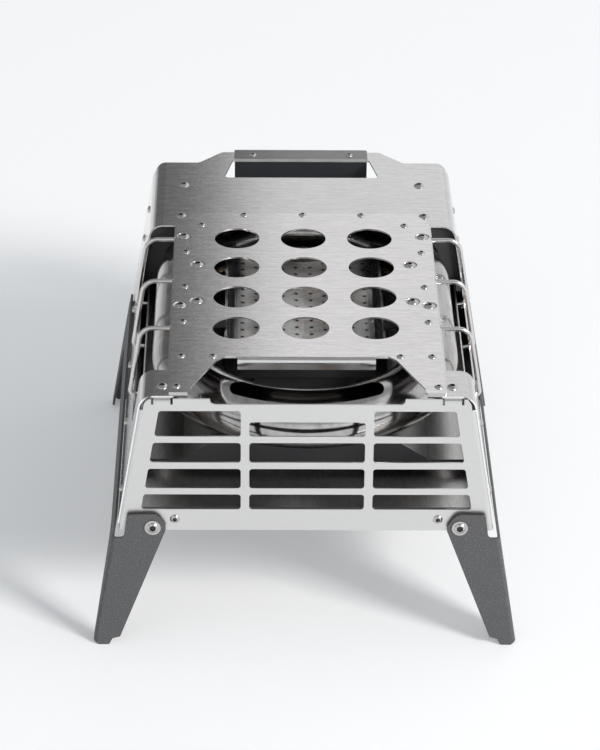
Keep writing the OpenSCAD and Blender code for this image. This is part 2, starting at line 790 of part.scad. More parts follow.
// A short upright mixer between the valve and the radiant tube
module tube_injector() {
    out_angle = atan2(valve_x, injector_d - bend_rear_d);
    color([0.75, 0.66, 0.45])
    difference() {
        translate([-valve_x, plate_y + injector_d, valve_z + 11.2]) difference() {
            cylinder(r = 8, h = 20);
            translate([0, 0, -1]) cylinder(r = 6, h = 30);
            for (turn = [0, 90]) rotate(turn) translate([0, 0, 3]) rotate([90, 0, 0])
                cylinder(r = 1.5, h = 40, center = true, $fn = 24);
        }
        translate([-bend_r * sin(out_angle), plate_y + bend_rear_d + bend_r * cos(out_angle), tube_z])
            rotate([0, 0, out_angle]) rotate([0, 90, 0]) cylinder(r = tube_r + 0.35, h = 90, center = true);
    }
}

inlet_tail = 10;

module gas_manifold() {
    r = 5;
    color([0.8, 0.68, 0.42]) translate([0, plate_y + manifold_d, inlet_z]) {
        rotate([0, 90, 0]) cylinder(r = r, h = 2 * valve_x + 12, center = true);
        sides() translate([valve_x, 0, 0]) cylinder(r = r - 1, h = valve_z - 10 - inlet_z);
        rotate([-90, 0, 0]) cylinder(r = r - 1, h = rear_face_d - inlet_tail - manifold_d);
    }
}

module valve() {
    back = rear_inner_d - 8;
    difference() {
        union() {
            translate([-11, plate_y + valve_front_d, valve_z - 10]) cube([22, back - valve_front_d, 20]);
            translate([0, plate_y + back, valve_z]) rotate([-90, 0, 0]) cylinder(r = 8, h = 8);
            translate([0, plate_y + back, valve_z]) rotate([-90, 0, 0])
                cylinder(r = 6, h = 8 + grille_t + 2.2);
        }
        translate([0, plate_y + back - 6, valve_z]) rotate([-90, 0, 0])
            cylinder(r = stem_r + run_gap, h = 30);
    }
}

module bed_valve() {
    color([0.8, 0.66, 0.38]) translate([valve_x, 0, 0]) valve();
}

module tube_valve() {
    color([0.8, 0.66, 0.38]) translate([-valve_x, 0, 0]) valve();
}

module valve_stem() {
    start = rear_inner_d - 13.5;
    translate([0, plate_y + start, valve_z]) rotate([-90, 0, 0])
        cylinder(r = stem_r, h = rear_face_d + 16 - start);
}

module bed_valve_stem() {
    color([0.7, 0.7, 0.7]) translate([valve_x, 0, 0]) valve_stem();
}

module tube_valve_stem() {
    color([0.7, 0.7, 0.7]) translate([-valve_x, 0, 0]) valve_stem();
}

module valve_nuts() {
    color([0.75, 0.75, 0.75]) sides() translate([valve_x, plate_y + rear_face_d, valve_z])
        rotate([-90, 0, 0]) hex_nut(15, 2, 6.1);
}

module gas_jets() {
    color([0.82, 0.7, 0.4]) {
        translate([valve_x, plate_y + valve_front_d, valve_z]) rotate([90, 0, 0]) cylinder(r = 4, h = 3.6);
        translate([-valve_x, plate_y + injector_d, valve_z + 10]) cylinder(r = 3.6, h = 4);
    }
}

module knob() {
    start = rear_face_d + 2.9;
    flute_r = 3;
    translate([0, plate_y + start, valve_z]) rotate([-90, 0, 0]) difference() {
        union() {
            cylinder(r = knob_r, h = knob_length - 2);
            translate([0, 0, knob_length - 2]) cylinder(r1 = knob_r, r2 = knob_r - 2, h = 2);
        }
        for (i = [0:11]) rotate(i * 30 + 15) translate([knob_r + 1.6, 0, 4]) cylinder(r = flute_r, h = 40);
        translate([-0.8, -knob_r - 1, knob_length - 1]) cube([1.6, knob_r - 3, 5]);
        translate([0, 0, -1]) cylinder(r = stem_r + 0.02, h = 15);
    }
}

module bed_knob() {
    color([0.13, 0.13, 0.14]) translate([valve_x, 0, 0]) knob();
}

module tube_knob() {
    color([0.13, 0.13, 0.14]) translate([-valve_x, 0, 0]) knob();
}

module gas_inlet() {
    hex_h = 9;
    seat = 3;
    color([0.82, 0.7, 0.42]) translate([0, plate_y + rear_face_d, inlet_z]) rotate([-90, 0, 0]) difference() {
        union() {
            cylinder(r = 19 / 2 / cos(30), h = hex_h, $fn = 6);
            translate([0, 0, -inlet_tail]) cylinder(r = 7, h = inlet_tail + 2);
            cylinder(r = inlet_r, h = hex_h + inlet_length);
            translate([0, 0, hex_h + inlet_length]) cylinder(r1 = inlet_r, r2 = inlet_r - seat, h = seat);
        }
        translate([0, 0, -11]) cylinder(r = 3, h = 60);
    }
}

module inlet_nut() {
    color([0.75, 0.75, 0.75]) translate([0, plate_y + rear_inner_d - 4, inlet_z]) rotate([-90, 0, 0])
        hex_nut(19, 4, 7.1);
}

// A wire over the right shoulder: along the top, round the bend, down the wall and into it
module guard_wire(d) {
    top_z = shell_top - wire_r - 0.1;
    inner_x = d == wire_spots[2] ? bar_spots[1].x + shank_r + hole_gap : 103;
    big_turn = 90 - wall_angle;
    bent_r = wire_r - 0.1;
    lap = 0.3;
    line_x = wall_x(top_z) + wire_stand_off / wall_cos;
    arc_x = line_x - wire_bend_r * tan(big_turn / 2);
    run = (top_z - wire_end_z) / wall_cos - wire_bend_r * tan(big_turn / 2) - wire_hook_r;
    translate([inner_x, plate_y + d, top_z]) rotate([0, 90, 0])
        cylinder(r = wire_r, h = arc_x - inner_x + lap);
    translate([arc_x, plate_y + d, top_z - wire_bend_r]) rotate([90, 0, 0]) rotate(wall_angle)
        rotate_extrude(angle = big_turn) translate([wire_bend_r, 0]) circle(bent_r);
    translate([arc_x, plate_y + d, top_z - wire_bend_r]) rotate([0, -wall_angle, 0]) {
        translate([wire_bend_r, 0, -run - lap]) cylinder(r = wire_r, h = run + 2 * lap);
        translate([wire_bend_r - wire_hook_r, 0, -run]) {
            rotate([-90, 0, 0]) rotate_extrude(angle = 90) translate([wire_hook_r, 0]) circle(bent_r);
            translate([lap, 0, -wire_hook_r]) rotate([0, -90, 0]) cylinder(r = wire_r, h = 6 + lap);
        }
    }
}

module left_wire(d) {
    color([0.8, 0.8, 0.8]) mirror([1, 0, 0]) guard_wire(d);
}

module right_wire(d) {
    color([0.8, 0.8, 0.8]) guard_wire(d);
}

module guard_bar() {
    front_d = wire_spots[0] - 9;
    color([0.45, 0.45, 0.46]) difference() {
        translate([101.5, plate_y + front_d, shell_under - 3.6])
            cube([12.5, wire_spots[2] + 9 - front_d, 3.6]);
        for (d = wire_spots) translate([100, plate_y + d, shell_top - wire_r - 0.1]) rotate([0, 90, 0])
            cylinder(r = wire_r + 0.05, h = 20);
        top_holes(concat(bar_spots, panel_spots), shank_r + hole_gap);
    }
}

module guard_bar_left() {
    mirror([1, 0, 0]) guard_bar();
}

module guard_bar_right() {
    guard_bar();
}

module guard_screws() {
    color([0.85, 0.85, 0.86]) sides() {
        for (spot = bar_spots) translate([spot.x, plate_y + spot.y, shell_top + 1]) big_screw(8);
        for (spot = bracket_spots) translate([spot.x, plate_y + spot.y, shell_top + 1]) big_screw(6);
    }
}

module guard_washers() {
    color([0.8, 0.8, 0.8]) sides() for (spot = concat(bar_spots, bracket_spots))
        translate([spot.x, plate_y + spot.y, shell_top]) difference() {
            cylinder(r = washer_r, h = 1);
            translate([0, 0, -1]) cylinder(r = shank_r + hole_gap, h = 3);
        }
}

module panel_screws() {
    color([0.85, 0.85, 0.86]) {
        sides() for (spot = panel_spots) translate([spot.x, plate_y + spot.y, panel_top]) small_screw(5);
        translate([0, plate_y + panel_mid_spot.y, panel_top]) small_screw(5);
    }
}

module shell_screws() {
    color([0.85, 0.85, 0.86]) sides() for (spot = [tab_screw, hanger_screw, rear_screw])
        translate([spot.x, plate_y + spot.y, shell_top]) big_screw(6);
}

module side_screws() {
    color([0.85, 0.85, 0.86]) sides() for (spot = side_spots) on_wall(spot.x, spot.y) small_screw(6);
}

module plate_screws() {
    color([0.85, 0.85, 0.86]) sides() ends()
        translate([plate_screw_spot.x, plate_y, plate_screw_spot.y]) rotate([90, 0, 0])
        screw(4.2, 2.1, shank_r, 7, 1.7);
}

module plate_nuts() {
    color([0.75, 0.75, 0.75]) sides() ends()
        translate([plate_screw_spot.x, plate_y + grille_t + inner_t, plate_screw_spot.y])
        rotate([-90, 0, 0]) hex_nut(7, 3.2, shank_r + 0.1);
}

module grip_2d(half_step) {
    r = grip_r;
    translate([hand_rear_d + r, shell_under - grip_height + r]) circle(r);
    translate([handle_end_d - r, shell_under - grip_height + r]) circle(r);
    translate([hand_rear_d + r, shell_under - grip_height]) square([grip_depth - 2 * r, r]);
    translate([hand_rear_d, shell_under - grip_height + r]) square([grip_depth, grip_height - r]);
}

module handle_grip() {
    color([0.12, 0.13, 0.14]) difference() {
        across(-grip_half + 0.5, grip_half - 0.5) grip_2d(0);
        sides() translate([handle_screw_x, plate_y + handle_screw_d, shell_under - 12])
            cylinder(r = shank_r, h = 20);
    }
}

module handle_strip() {
    color([0.45, 0.44, 0.44]) difference() {
        plan(shell_top, shell_top + panel_t) polygon(rounded(both([[grip_half, hand_rear_d - 0.1, 0],
            [grip_half, handle_end_d, 2]])));
        sides() translate([handle_screw_x, plate_y + handle_screw_d, shell_top - 5])
            cylinder(r = shank_r, h = 20);
    }
}

module handle_screws() {
    color([0.85, 0.85, 0.86]) sides() translate([handle_screw_x, plate_y + handle_screw_d, panel_top])
        small_screw(12);
}

function leg_x(z) = wall_x(z) + (leg_wall_gap + leg_t) / wall_cos;

leg_front_d = -leg_stand_off - leg_t;
leg_fold_r = 3.5;
notch_z = 107.5;

// The front face of the right leg, between its folded edge and its inner edge
module leg_face_2d() {
    past = 1;
    difference() {
        polygon(rounded([[leg_x(notch_z) + past, notch_z, 0], [154.2, notch_z, 3], [151.2, 129.4, 3],
            [126, 130.2, 9], [118, 117, 6], [leg_x(7) - 22, 8, 1.5], [165.5, 6, 2], [168.5, 0, 2],
            [leg_x(0) - 5, 0, 0], [leg_x(4) + past, 4, 0]]));
        translate([pivot_x, pivot_z]) circle(4.5 + run_gap);
    }
}

// One side of the rail and of its two legs, from the front leg to the middle
function rail_half(start) = [[start, 2, 0], [start + foot_depth, 1, 3], [start + knee_depth, rail_bottom, 22]];
function rail_half_top(start) = [[8, rail_top, 5], [start + 2.5, notch_z, 1.5], [start, notch_z, 0]];
function from_rear(points) = [for (i = [len(points) - 1:-1:0])
    [rear_face_d - points[i].x, points[i].y, points[i].z]];

module leg_frame() {
    start = leg_front_d + leg_fold_r + 0.5;
    intersection() {
        channel(leg_x(0), leg_front_d, rear_face_d - leg_front_d, leg_t, leg_fold_r);
        union() {
            ends() along(leg_front_d - 1, start) leg_face_2d();
            across(100, 200) polygon(rounded(concat(rail_half(start), from_rear(rail_half(start)),
                from_rear(rail_half_top(start)), rail_half_top(start))));
        }
    }
}

module leg_frame_right() {
    color([0.36, 0.36, 0.37]) leg_frame();
}

module leg_frame_left() {
    color([0.36, 0.36, 0.37]) mirror([1, 0, 0]) leg_frame();
}

bush_spigot = leg_t + run_gap;

module leg_screws() {
    color([0.85, 0.85, 0.86]) sides() ends()
        translate([pivot_x, plate_y - leg_stand_off - bush_spigot, pivot_z]) rotate([90, 0, 0]) {
        screw(pivot_head_r - 1.2, pivot_head_h, pivot_shank_r, 12.5, 2.6);
        difference() {
            cylinder(r = pivot_head_r, h = 1);
            translate([0, 0, -1]) cylinder(r = pivot_shank_r + 1, h = 3);
        }
    }
}

module leg_bushes() {
    color([0.78, 0.7, 0.5]) sides() ends() translate([pivot_x, plate_y, pivot_z]) rotate([90, 0, 0])
        difference() {
        union() {
            cylinder(r = 6.5, h = leg_stand_off);
            cylinder(r = 4.5, h = leg_stand_off + bush_spigot);
        }
        translate([0, 0, -1]) cylinder(r = pivot_shank_r + 0.1, h = 20);
    }
}

module leg_nuts() {
    color([0.75, 0.75, 0.75]) sides() ends() translate([pivot_x, plate_y + grille_t, pivot_z])
        rotate([-90, 0, 0]) hex_nut(10, 5, pivot_shank_r + 0.1);
}

shell();
top_panel();
front_grille();
rear_plate();
bottom_pan();
heat_tray();
tray_spacers();
burner_tube();
tube_hanger_left();
tube_hanger_right();
flame_bed();
gas_box();
bed_brackets();
bed_venturi();
tube_injector();
gas_manifold();
bed_valve();
tube_valve();
bed_valve_stem();
tube_valve_stem();
valve_nuts();
gas_jets();
bed_knob();
tube_knob();
gas_inlet();
inlet_nut();
left_wire(wire_spots[0]);  // guard_wire_left_front
left_wire(wire_spots[1]);  // guard_wire_left_middle
left_wire(wire_spots[2]);  // guard_wire_left_rear
right_wire(wire_spots[0]);  // guard_wire_right_front
right_wire(wire_spots[1]);  // guard_wire_right_middle
right_wire(wire_spots[2]);  // guard_wire_right_rear
guard_bar_left();
guard_bar_right();
guard_screws();
guard_washers();
panel_screws();
shell_screws();
side_screws();
plate_screws();
plate_nuts();
handle_grip();
handle_strip();
handle_screws();
leg_frame_left();
leg_frame_right();
leg_screws();
leg_bushes();
leg_nuts();
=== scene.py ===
# %% [markdown]
# # A portable propane fire pit
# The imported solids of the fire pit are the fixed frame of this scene. The lesson gives each piece the finish
# that it has in the photograph, models the pieces whose roundness matters most again, and lights them like a
# product shot on a pale studio floor. Every length is in metres, in the frame of the CAD model.

# %% Load the frame
import json
import math
import bpy
from mathutils import Matrix, Vector


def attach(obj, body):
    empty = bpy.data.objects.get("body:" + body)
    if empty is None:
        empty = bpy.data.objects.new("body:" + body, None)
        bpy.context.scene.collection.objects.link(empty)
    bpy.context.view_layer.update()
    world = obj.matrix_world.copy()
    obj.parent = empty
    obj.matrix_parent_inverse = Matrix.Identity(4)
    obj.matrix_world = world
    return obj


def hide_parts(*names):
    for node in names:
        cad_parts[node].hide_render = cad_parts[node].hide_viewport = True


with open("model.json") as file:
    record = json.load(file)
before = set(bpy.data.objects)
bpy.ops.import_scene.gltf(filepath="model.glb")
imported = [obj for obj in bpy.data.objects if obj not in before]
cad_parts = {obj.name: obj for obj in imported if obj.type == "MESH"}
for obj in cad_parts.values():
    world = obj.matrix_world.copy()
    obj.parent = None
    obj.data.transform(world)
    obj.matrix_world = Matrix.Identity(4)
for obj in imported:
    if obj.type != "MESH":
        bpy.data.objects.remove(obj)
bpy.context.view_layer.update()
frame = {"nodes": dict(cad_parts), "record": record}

nodes = frame["nodes"]
MM = 0.001
FRONT_Y = -239.375 * MM

# %% [markdown]
# ## Camera
# The photograph was taken with a long lens from above the front, so the sides of the fire pit stay nearly
# parallel. A camera could be aimed at a point by a constraint, but a photograph is matched more surely by a
# place and three angles: its yaw, its pitch and its roll. The lens follows from how many pixels long the
# focal length is.

# %% Camera
CAMERA_AT = Vector((-47.62 * MM, -2559.4 * MM, 1534.3 * MM))
YAW, PITCH, ROLL = (math.radians(angle) for angle in (1.01, 28.73, 0.65))
FOCAL_PIXELS = 3213.85
PICTURE_HEIGHT = 750
SENSOR = 36.0

forward = Vector((math.sin(YAW) * math.cos(PITCH), math.cos(YAW) * math.cos(PITCH), -math.sin(PITCH)))
level_right = Vector((math.cos(YAW), -math.sin(YAW), 0))
level_up = level_right.cross(forward)
right = level_right * math.cos(ROLL) + level_up * math.sin(ROLL)
up = level_up * math.cos(ROLL) - level_right * math.sin(ROLL)

lens = bpy.data.cameras.new("camera")
lens.sensor_fit = "VERTICAL"
lens.sensor_height = SENSOR
lens.lens = FOCAL_PIXELS / PICTURE_HEIGHT * SENSOR
lens.clip_start = 0.05
camera = bpy.data.objects.new("camera", lens)
bpy.context.scene.collection.objects.link(camera)
turn = Matrix((right, up, -forward)).transposed()
camera.matrix_world = Matrix.Translation(CAMERA_AT) @ turn.to_4x4()
bpy.context.scene.camera = camera
print("lens: %.1f mm" % lens.lens)

# %% [markdown]
# ## Shader maths as Python
# A finish is a graph of shader nodes. It could be drawn by hand in the shader editor, or written out node by
# node, which takes many lines. Here one small class wraps the output of a node, so that it can be added or
# multiplied like a number, and every sum adds the Math node that it stands for.

# %% An output that does sums
class Signal:
    def __init__(self, finish, socket):
        self.finish = finish
        self.socket = socket

    def math(self, operation, *others):
        return self.finish.node("ShaderNodeMath", {"operation": operation}, self, *others)

    def __add__(self, other):
        return self.math("ADD", other)

    def __sub__(self, other):
        return self.math("SUBTRACT", other)

    def __mul__(self, other):
        return self.math("MULTIPLY", other)

    def __rsub__(self, other):
        return self.finish.node("ShaderNodeMath", {"operation": "SUBTRACT"}, other, self)

    __radd__ = __add__
    __rmul__ = __mul__

    def ramp(self, low, high):
        """0 at low, 1 at high, smooth between them. High may be the smaller of the two."""
        return self.finish.node("ShaderNodeMapRange", {"interpolation_type": "SMOOTHSTEP"}, self, low, high)

    def part(self, index):
        """One of the three numbers of a vector."""
        return self.finish.node("ShaderNodeSeparateXYZ", {}, self, output=index)


print("a signal can add, subtract, multiply, ramp and split")

# %% [markdown]
# ## A finish and its nodes
# A second class keeps the nodes of one material. One method makes any node from its type, its settings and
# the values of its sockets, and the others name what a finish needs most: a place on the piece, a noise, a
# mix of two colours, and which way the surface faces. Patterns lie on Object coordinates, because the pieces
# have no texture maps, and because every piece's object sits at the origin.

# %% A finish
TUNNEL_MIDDLE_Z = 150 * MM


class Finish:
    def __init__(self, name, **constants):
        self.material = bpy.data.materials.new(name)
        self.material.use_nodes = True
        self.tree = self.material.node_tree
        self.shader = self.tree.nodes["Principled BSDF"]
        for socket, value in constants.items():
            self.shader.inputs[socket].default_value = value

    def node(self, kind, settings, *values, output=0, **named):
        """A new node. Values go to its first sockets in turn, and named ones to the socket of that name."""
        made = self.tree.nodes.new(kind)
        for key, value in settings.items():
            setattr(made, key, value)
        for key, value in [*enumerate(values), *named.items()]:
            self.feed(made.inputs[key], value)
        return Signal(self, made.outputs[output])

    def feed(self, socket, value):
        if isinstance(value, Signal):
            self.tree.links.new(value.socket, socket)
        elif value is not None:
            socket.default_value = value

    def place(self, scale=(1, 1, 1)):
        here = self.node("ShaderNodeTexCoord", {}, output="Object")
        return self.node("ShaderNodeMapping", {}, Vector=here, Scale=scale)

    def noise(self, scale, detail, roughness, place=(1, 1, 1)):
        """A soft noise: its lumps per metre, its finer layers and their strength. place squeezes it."""
        return self.node("ShaderNodeTexNoise", {}, Vector=self.place(place), Scale=scale, Detail=detail,
                         Roughness=roughness)

    def mix(self, factor, first, second):
        unused = [None] * 5
        return self.node("ShaderNodeMix", {"data_type": "RGBA"}, factor, *unused, first, second, output=2)

    def facing(self, towards):
        """How far the surface faces a direction, from -1 to 1."""
        normal = self.node("ShaderNodeTexCoord", {}, output="Normal")
        return self.node("ShaderNodeVectorMath", {"operation": "DOT_PRODUCT"}, normal, towards, output=1)

    def inner_side(self):
        """1 on the faces that look towards the middle of the tunnel that the folded shell makes."""
        middle = (0, 0, TUNNEL_MIDDLE_Z)
        section = self.node("ShaderNodeVectorMath", {"operation": "MULTIPLY"}, self.place(), (1, 0, 1))
        outwards = self.node("ShaderNodeVectorMath", {"operation": "SUBTRACT"}, section, middle)
        return self.facing(outwards).ramp(-0.01, -0.03)

    def color(self, value):
        self.feed(self.shader.inputs["Base Color"], value)

    def rough(self, value):
        self.feed(self.shader.inputs["Roughness"], value)

    def metal(self, value):
        self.feed(self.shader.inputs["Metallic"], value)

    def bump(self, height, distance):
        normal = self.node("ShaderNodeBump", {}, Distance=distance, Height=height)
        self.feed(self.shader.inputs["Normal"], normal)


def shade(value, tint=(1, 1, 1)):
    """A colour from one brightness and a tint."""
    return tuple(value * part for part in tint) + (1,)


print("a finish can place, mix, face, color, rough, metal and bump")

# %% [markdown]
# ## Which faces are sooty or in shade, and which are cut
# The inside of the sheets is darkened, partly for flame soot and mostly as painted shade where little light
# gets in. The cut edges are made pale, partly for bare cut steel and partly as a painted highlight line. Both
# could be painted by hand on each piece. It is quicker to tell the faces apart by the direction they look in,
# because a packed solid is made of true planes and folds. The ramps below work on cosines: 1 is a face that
# looks straight in the direction, 0 is one that is square to it.

# %% Masks
LIP_TOP_Z = (239.4 * MM, 239.8 * MM)


def faces_front(finish):
    return finish.facing((0, -1, 0)).ramp(0.5, 0.8)


def faces_back(finish):
    return finish.facing((0, 1, 0)).ramp(0.3, 0.6)


def cut_edges(finish):
    """1 on the cut edges of the top sheet, and half on the lip that hangs below it. The pale tone there is
    partly a painted highlight.
    """
    upward = finish.facing((0, 0, 1))
    above_lip = finish.place().part(2).ramp(*LIP_TOP_Z)
    return (upward * upward).ramp(0.5, 0.2) * (above_lip * 0.5 + 0.5)


print("masks: faces_front, faces_back, cut_edges, inner_side")

# %% [markdown]
# ## Brushed stainless steel
# Sheet steel is brushed by a belt, which leaves long fine scratches in one direction. A picture of brushed
# metal would repeat and would need a texture map. A noise that is squeezed across the scratches and stretched
# along them gives the same streaks everywhere, and they run round the folds, because the noise is as long in
# both other directions. The streaks move the colour, the roughness and a very shallow bump.

# %% Brushed steel
WARM = (1.0, 0.975, 0.955)
# The dark tones of the hidden faces: flame soot in part, painted shade for the rest.
SOOT_AND_SHADE = (0.072, 0.072, 0.076, 1)
TARNISH_AND_SHADE = (0.26, 0.25, 0.25, 1)
# The pale tone of the cut edges: bare cut steel, with a painted highlight line along the sheet edges.
CUT_STEEL_AND_HIGHLIGHT = (0.92, 0.92, 0.91, 1)
X_AXIS, Y_AXIS, Z_AXIS = 0, 1, 2
ALONG_GRAIN = 120
ACROSS_GRAIN = 900
WIDE_BANDS = 0.35
STREAK_SHARE = 0.65
BAND_SHARE = 0.35
CLOUD_SCALE = 7.0
DARK_STREAK = 0.55
PALE_STREAK = 1.45
STREAK_ROUGH = 0.08
SOOT_AND_SHADE_ROUGH = 0.12
CUT_ROUGH = 0.25
SCRATCH_DEPTH = 0.06 * MM


def brushed(name, brightness, grain, roughness=0.08, tint=WARM, depth=1.0, contrast=0.85, cloud=0.16,
            hidden=None, edge=None, soot_and_shade=SOOT_AND_SHADE):
    """grain is the axis across the scratches. hidden finds the faces darkened by soot and painted shade, and
    edge the cut ones, paled partly by a painted highlight.
    """
    finish = Finish(name, Metallic=1.0)
    fine = [ALONG_GRAIN] * 3
    fine[grain] = ACROSS_GRAIN
    wide = [size * WIDE_BANDS for size in fine]
    streaks = finish.noise(1.0, 3.0, 0.7, fine)
    bands = finish.noise(1.0, 1.0, 0.5, wide)
    clouds = finish.noise(CLOUD_SCALE, 2.0, 0.5)
    scratches = streaks * STREAK_SHARE + bands * BAND_SHARE
    level = (scratches - 0.5) * contrast + (clouds - 0.5) * cloud + 0.5
    color = finish.mix(level, shade(brightness * DARK_STREAK, tint), shade(brightness * PALE_STREAK, tint))
    rough = (scratches - 0.5) * STREAK_ROUGH + roughness
    # The hidden faces are darkened: soot in part, painted shade for the rest.
    if hidden:
        sooted_and_shaded = hidden(finish)
        color = finish.mix(sooted_and_shaded, color, soot_and_shade)
        rough = sooted_and_shaded * SOOT_AND_SHADE_ROUGH + rough
    # The cut faces are paled: partly cut steel, partly a painted highlight.
    if edge:
        cut_face_and_highlight = edge(finish)
        color = finish.mix(cut_face_and_highlight, color, CUT_STEEL_AND_HIGHLIGHT)
        rough = cut_face_and_highlight * CUT_ROUGH + rough
    finish.color(color)
    finish.rough(rough)
    finish.bump(scratches, SCRATCH_DEPTH * depth)
    return finish.material


print("brushed steel: about %d streaks per metre across the grain" % ACROSS_GRAIN)

# %% [markdown]
# ## The brushed sheets
# In the photograph the shell and the top panel are nearly mirrors. They are brushed from side to side, so the
# scratches run round their folds. The grille and the heat tray are much duller, and the strip over the handle
# is dark. One finish could serve them all, but then some sheets would be too bright and others too dark. Each
# gets its own brightness, grain, roughness and tint, judged against the photograph.

# %% Brushed sheets
# The hidden masks darken the inside of the shell and the panel, the back of the grille and the front faces of
# the plate and the tray: painted shade, with some soot inside the shell and the panel.
SHELL = brushed("shell_steel", 0.61, Y_AXIS, 0.07, (1.0, 0.962, 0.952), hidden=Finish.inner_side,
                edge=faces_front, soot_and_shade=TARNISH_AND_SHADE)
PANEL = brushed("panel_steel", 0.68, Y_AXIS, 0.05, (1.0, 0.948, 0.935), hidden=Finish.inner_side,
                edge=cut_edges)
GRILLE = brushed("grille_steel", 0.66, Z_AXIS, 0.34, (1, 0.995, 0.985), depth=0.5, contrast=0.10,
                 cloud=0.05, hidden=faces_back)
PLATE = brushed("plate_steel", 0.55, Z_AXIS, hidden=faces_front)
TRAY = brushed("tray_steel", 0.66, X_AXIS, 0.30, depth=0.3, hidden=faces_front)
# The strip's front edge, like the shell's, gets the pale cut tone, which is partly a painted highlight.
STRIP = brushed("strip_steel", 0.20, Y_AXIS, 0.14, (1, 0.97, 0.95), edge=faces_front)
print("brushed finishes: shell, panel, grille, plate, tray, strip")

# %% [markdown]
# ## Polished steel and brass
# The tube and the wires are bare polished steel, and the flame has browned the tube in patches and drawn dull
# smears along it. The screws and the gas fittings are polished too. A mirror shows little of its own colour,
# so it is enough to vary a dark and a light tone by a soft noise, and to lay the brown over it.

# %% Polished finishes
HEAT = (0.30, 0.19, 0.13, 1)
SMEAR = (0.16, 0.155, 0.16, 1)
SMEAR_SCALE = (130, 14, 130)
SMEAR_STRENGTH = 0.35
DARKER_TONE = 0.86
SMUDGE = 0.08


def polished(name, brightness, roughness, tint=WARM, heat=0.0):
    """heat is how strongly the flame has browned it."""
    finish = Finish(name, Metallic=1.0)
    clouds = finish.noise(40.0, 3.0, 0.6)
    color = finish.mix(clouds, shade(brightness * DARKER_TONE, tint), shade(brightness, tint))
    if heat:
        patches = finish.noise(26.0, 4.0, 0.6).ramp(0.54, 0.72)
        smears = finish.noise(1.0, 3.0, 0.6, SMEAR_SCALE).ramp(0.35, 0.75)
        color = finish.mix(patches * heat, color, HEAT)
        color = finish.mix(smears * SMEAR_STRENGTH, color, SMEAR)
    finish.color(color)
    finish.rough(clouds * SMUDGE + roughness)
    return finish.material


TUBE = polished("tube_steel", 0.50, 0.12, heat=0.75)
WIRE = polished("wire_steel", 0.70, 0.12)
SCREW = polished("screw_steel", 0.56, 0.13)
ZINC = polished("zinc", 0.62, 0.35)
BRASS = polished("brass", 0.72, 0.25, (1, 0.76, 0.42))
print("polished finishes: tube, wire, screw, zinc, brass")

# %% [markdown]
# ## Soot round the ports
# The flame bed is full of small ports where the gas burns, and each gets a ring of soot. The rings could be
# painted one by one. The ports lie on a staggered grid, so the distance to the nearest port can be worked out
# at every place instead: the place is divided by the pitch, and the nearest whole number is taken away. What
# is left, times the pitch, is the way to the nearest port in millimetres.

# %% Soot rings
PORT_X = 6.5 * MM
PORT_Y = FRONT_Y + 117 * MM
PORT_PITCH_X = 12.07 * MM
PORT_PITCH_Y = 13 * MM
RING_INNER = 1.2
RING_OUTER = 2.6


def near_ports(x, y):
    """1 at a port and 0 outside its ring of soot. Every other column of ports is half a pitch further on."""
    column = (x.math("ABSOLUTE") - PORT_X) * (1 / PORT_PITCH_X)
    nearest = column.math("ROUND")
    row = (y - PORT_Y) * (1 / PORT_PITCH_Y) - nearest.math("MODULO", 2.0) * 0.5
    across = (column - nearest) * (PORT_PITCH_X / MM)
    along = (row - row.math("ROUND")) * (PORT_PITCH_Y / MM)
    return (across * across + along * along).ramp(RING_OUTER ** 2, RING_INNER ** 2)


print("soot rings: %.1f mm round every port" % RING_OUTER)

# %% [markdown]
# ## The stained flame bed
# The bed is a dull sheet under the round holes. In use it gets brown stains and dark specks. Towards its sides
# it is painted nearly black as shade, and there it is also glossier. A photograph of burnt steel would be a
# texture map, so the stains are three noises of different sizes, and each lays its own colour over the one
# before. The painted shade on the sides follows the distance from the middle, made ragged by the clouds. The
# front faces get the dark tone of soot and painted shade.

# %% Stained bed
SIDES_START = 0.049
SIDES_END = 0.061
RAGGED = 0.0016
BROWN = (0.46, 0.36, 0.30, 1)
BROWN_STRENGTH = 0.5
SPECK = (0.12, 0.09, 0.07, 1)
SPECK_STRENGTH = 0.6
BED_SIDES_SHADE = (0.13, 0.13, 0.135, 1)
SIDES_METAL = 0.45
SIDES_GLOSS = 0.12
BED_METAL = 0.5
BED_SMUDGE = 0.2
PORT_SOOT = (0.03, 0.025, 0.02, 1)
RING_STRENGTH = 0.8


def stained(name, brightness, roughness):
    finish = Finish(name)
    place = finish.place()
    x, y = place.part(0), place.part(1)
    clouds = finish.noise(30.0, 4.0, 0.6)
    # The sides are painted dark as shade, and made more metallic and glossier.
    shaded_sides = (x * x + (clouds - 0.5) * RAGGED).ramp(SIDES_START ** 2, SIDES_END ** 2)
    brown = finish.noise(75.0, 4.0, 0.65).ramp(0.42, 0.66)
    specks = finish.noise(420.0, 2.0, 0.5).ramp(0.62, 0.70)
    dull = shade(brightness * 0.8, (1, 0.97, 0.94))
    bright = shade(brightness * 1.15, (1, 0.98, 0.96))
    color = finish.mix(clouds, dull, bright)
    color = finish.mix(brown * BROWN_STRENGTH, color, BROWN)
    color = finish.mix(specks * SPECK_STRENGTH, color, SPECK)
    color = finish.mix(shaded_sides, color, BED_SIDES_SHADE)
    color = finish.mix(near_ports(x, y) * RING_STRENGTH, color, PORT_SOOT)
    # The front faces get the dark tone of soot and painted shade.
    finish.color(finish.mix(faces_front(finish), color, SOOT_AND_SHADE))
    finish.metal(shaded_sides * SIDES_METAL + BED_METAL)
    finish.rough(clouds * BED_SMUDGE - shaded_sides * SIDES_GLOSS + roughness)
    return finish.material


BED = stained("bed_steel", 0.80, 0.26)
print("stained finish: bed")

# %% [markdown]
# ## Powder coat, rubber and plastic
# The legs have a powder coat, which dries with a fine orange peel and lighter specks. The grip and the knobs
# are dark and matt with an even finer skin. Each could have a finish of its own, but the same two noises
# serve them all: a fine one lifts the surface a little and moves its roughness, and a coarser one scatters
# the specks. Only the colours and the depths differ.

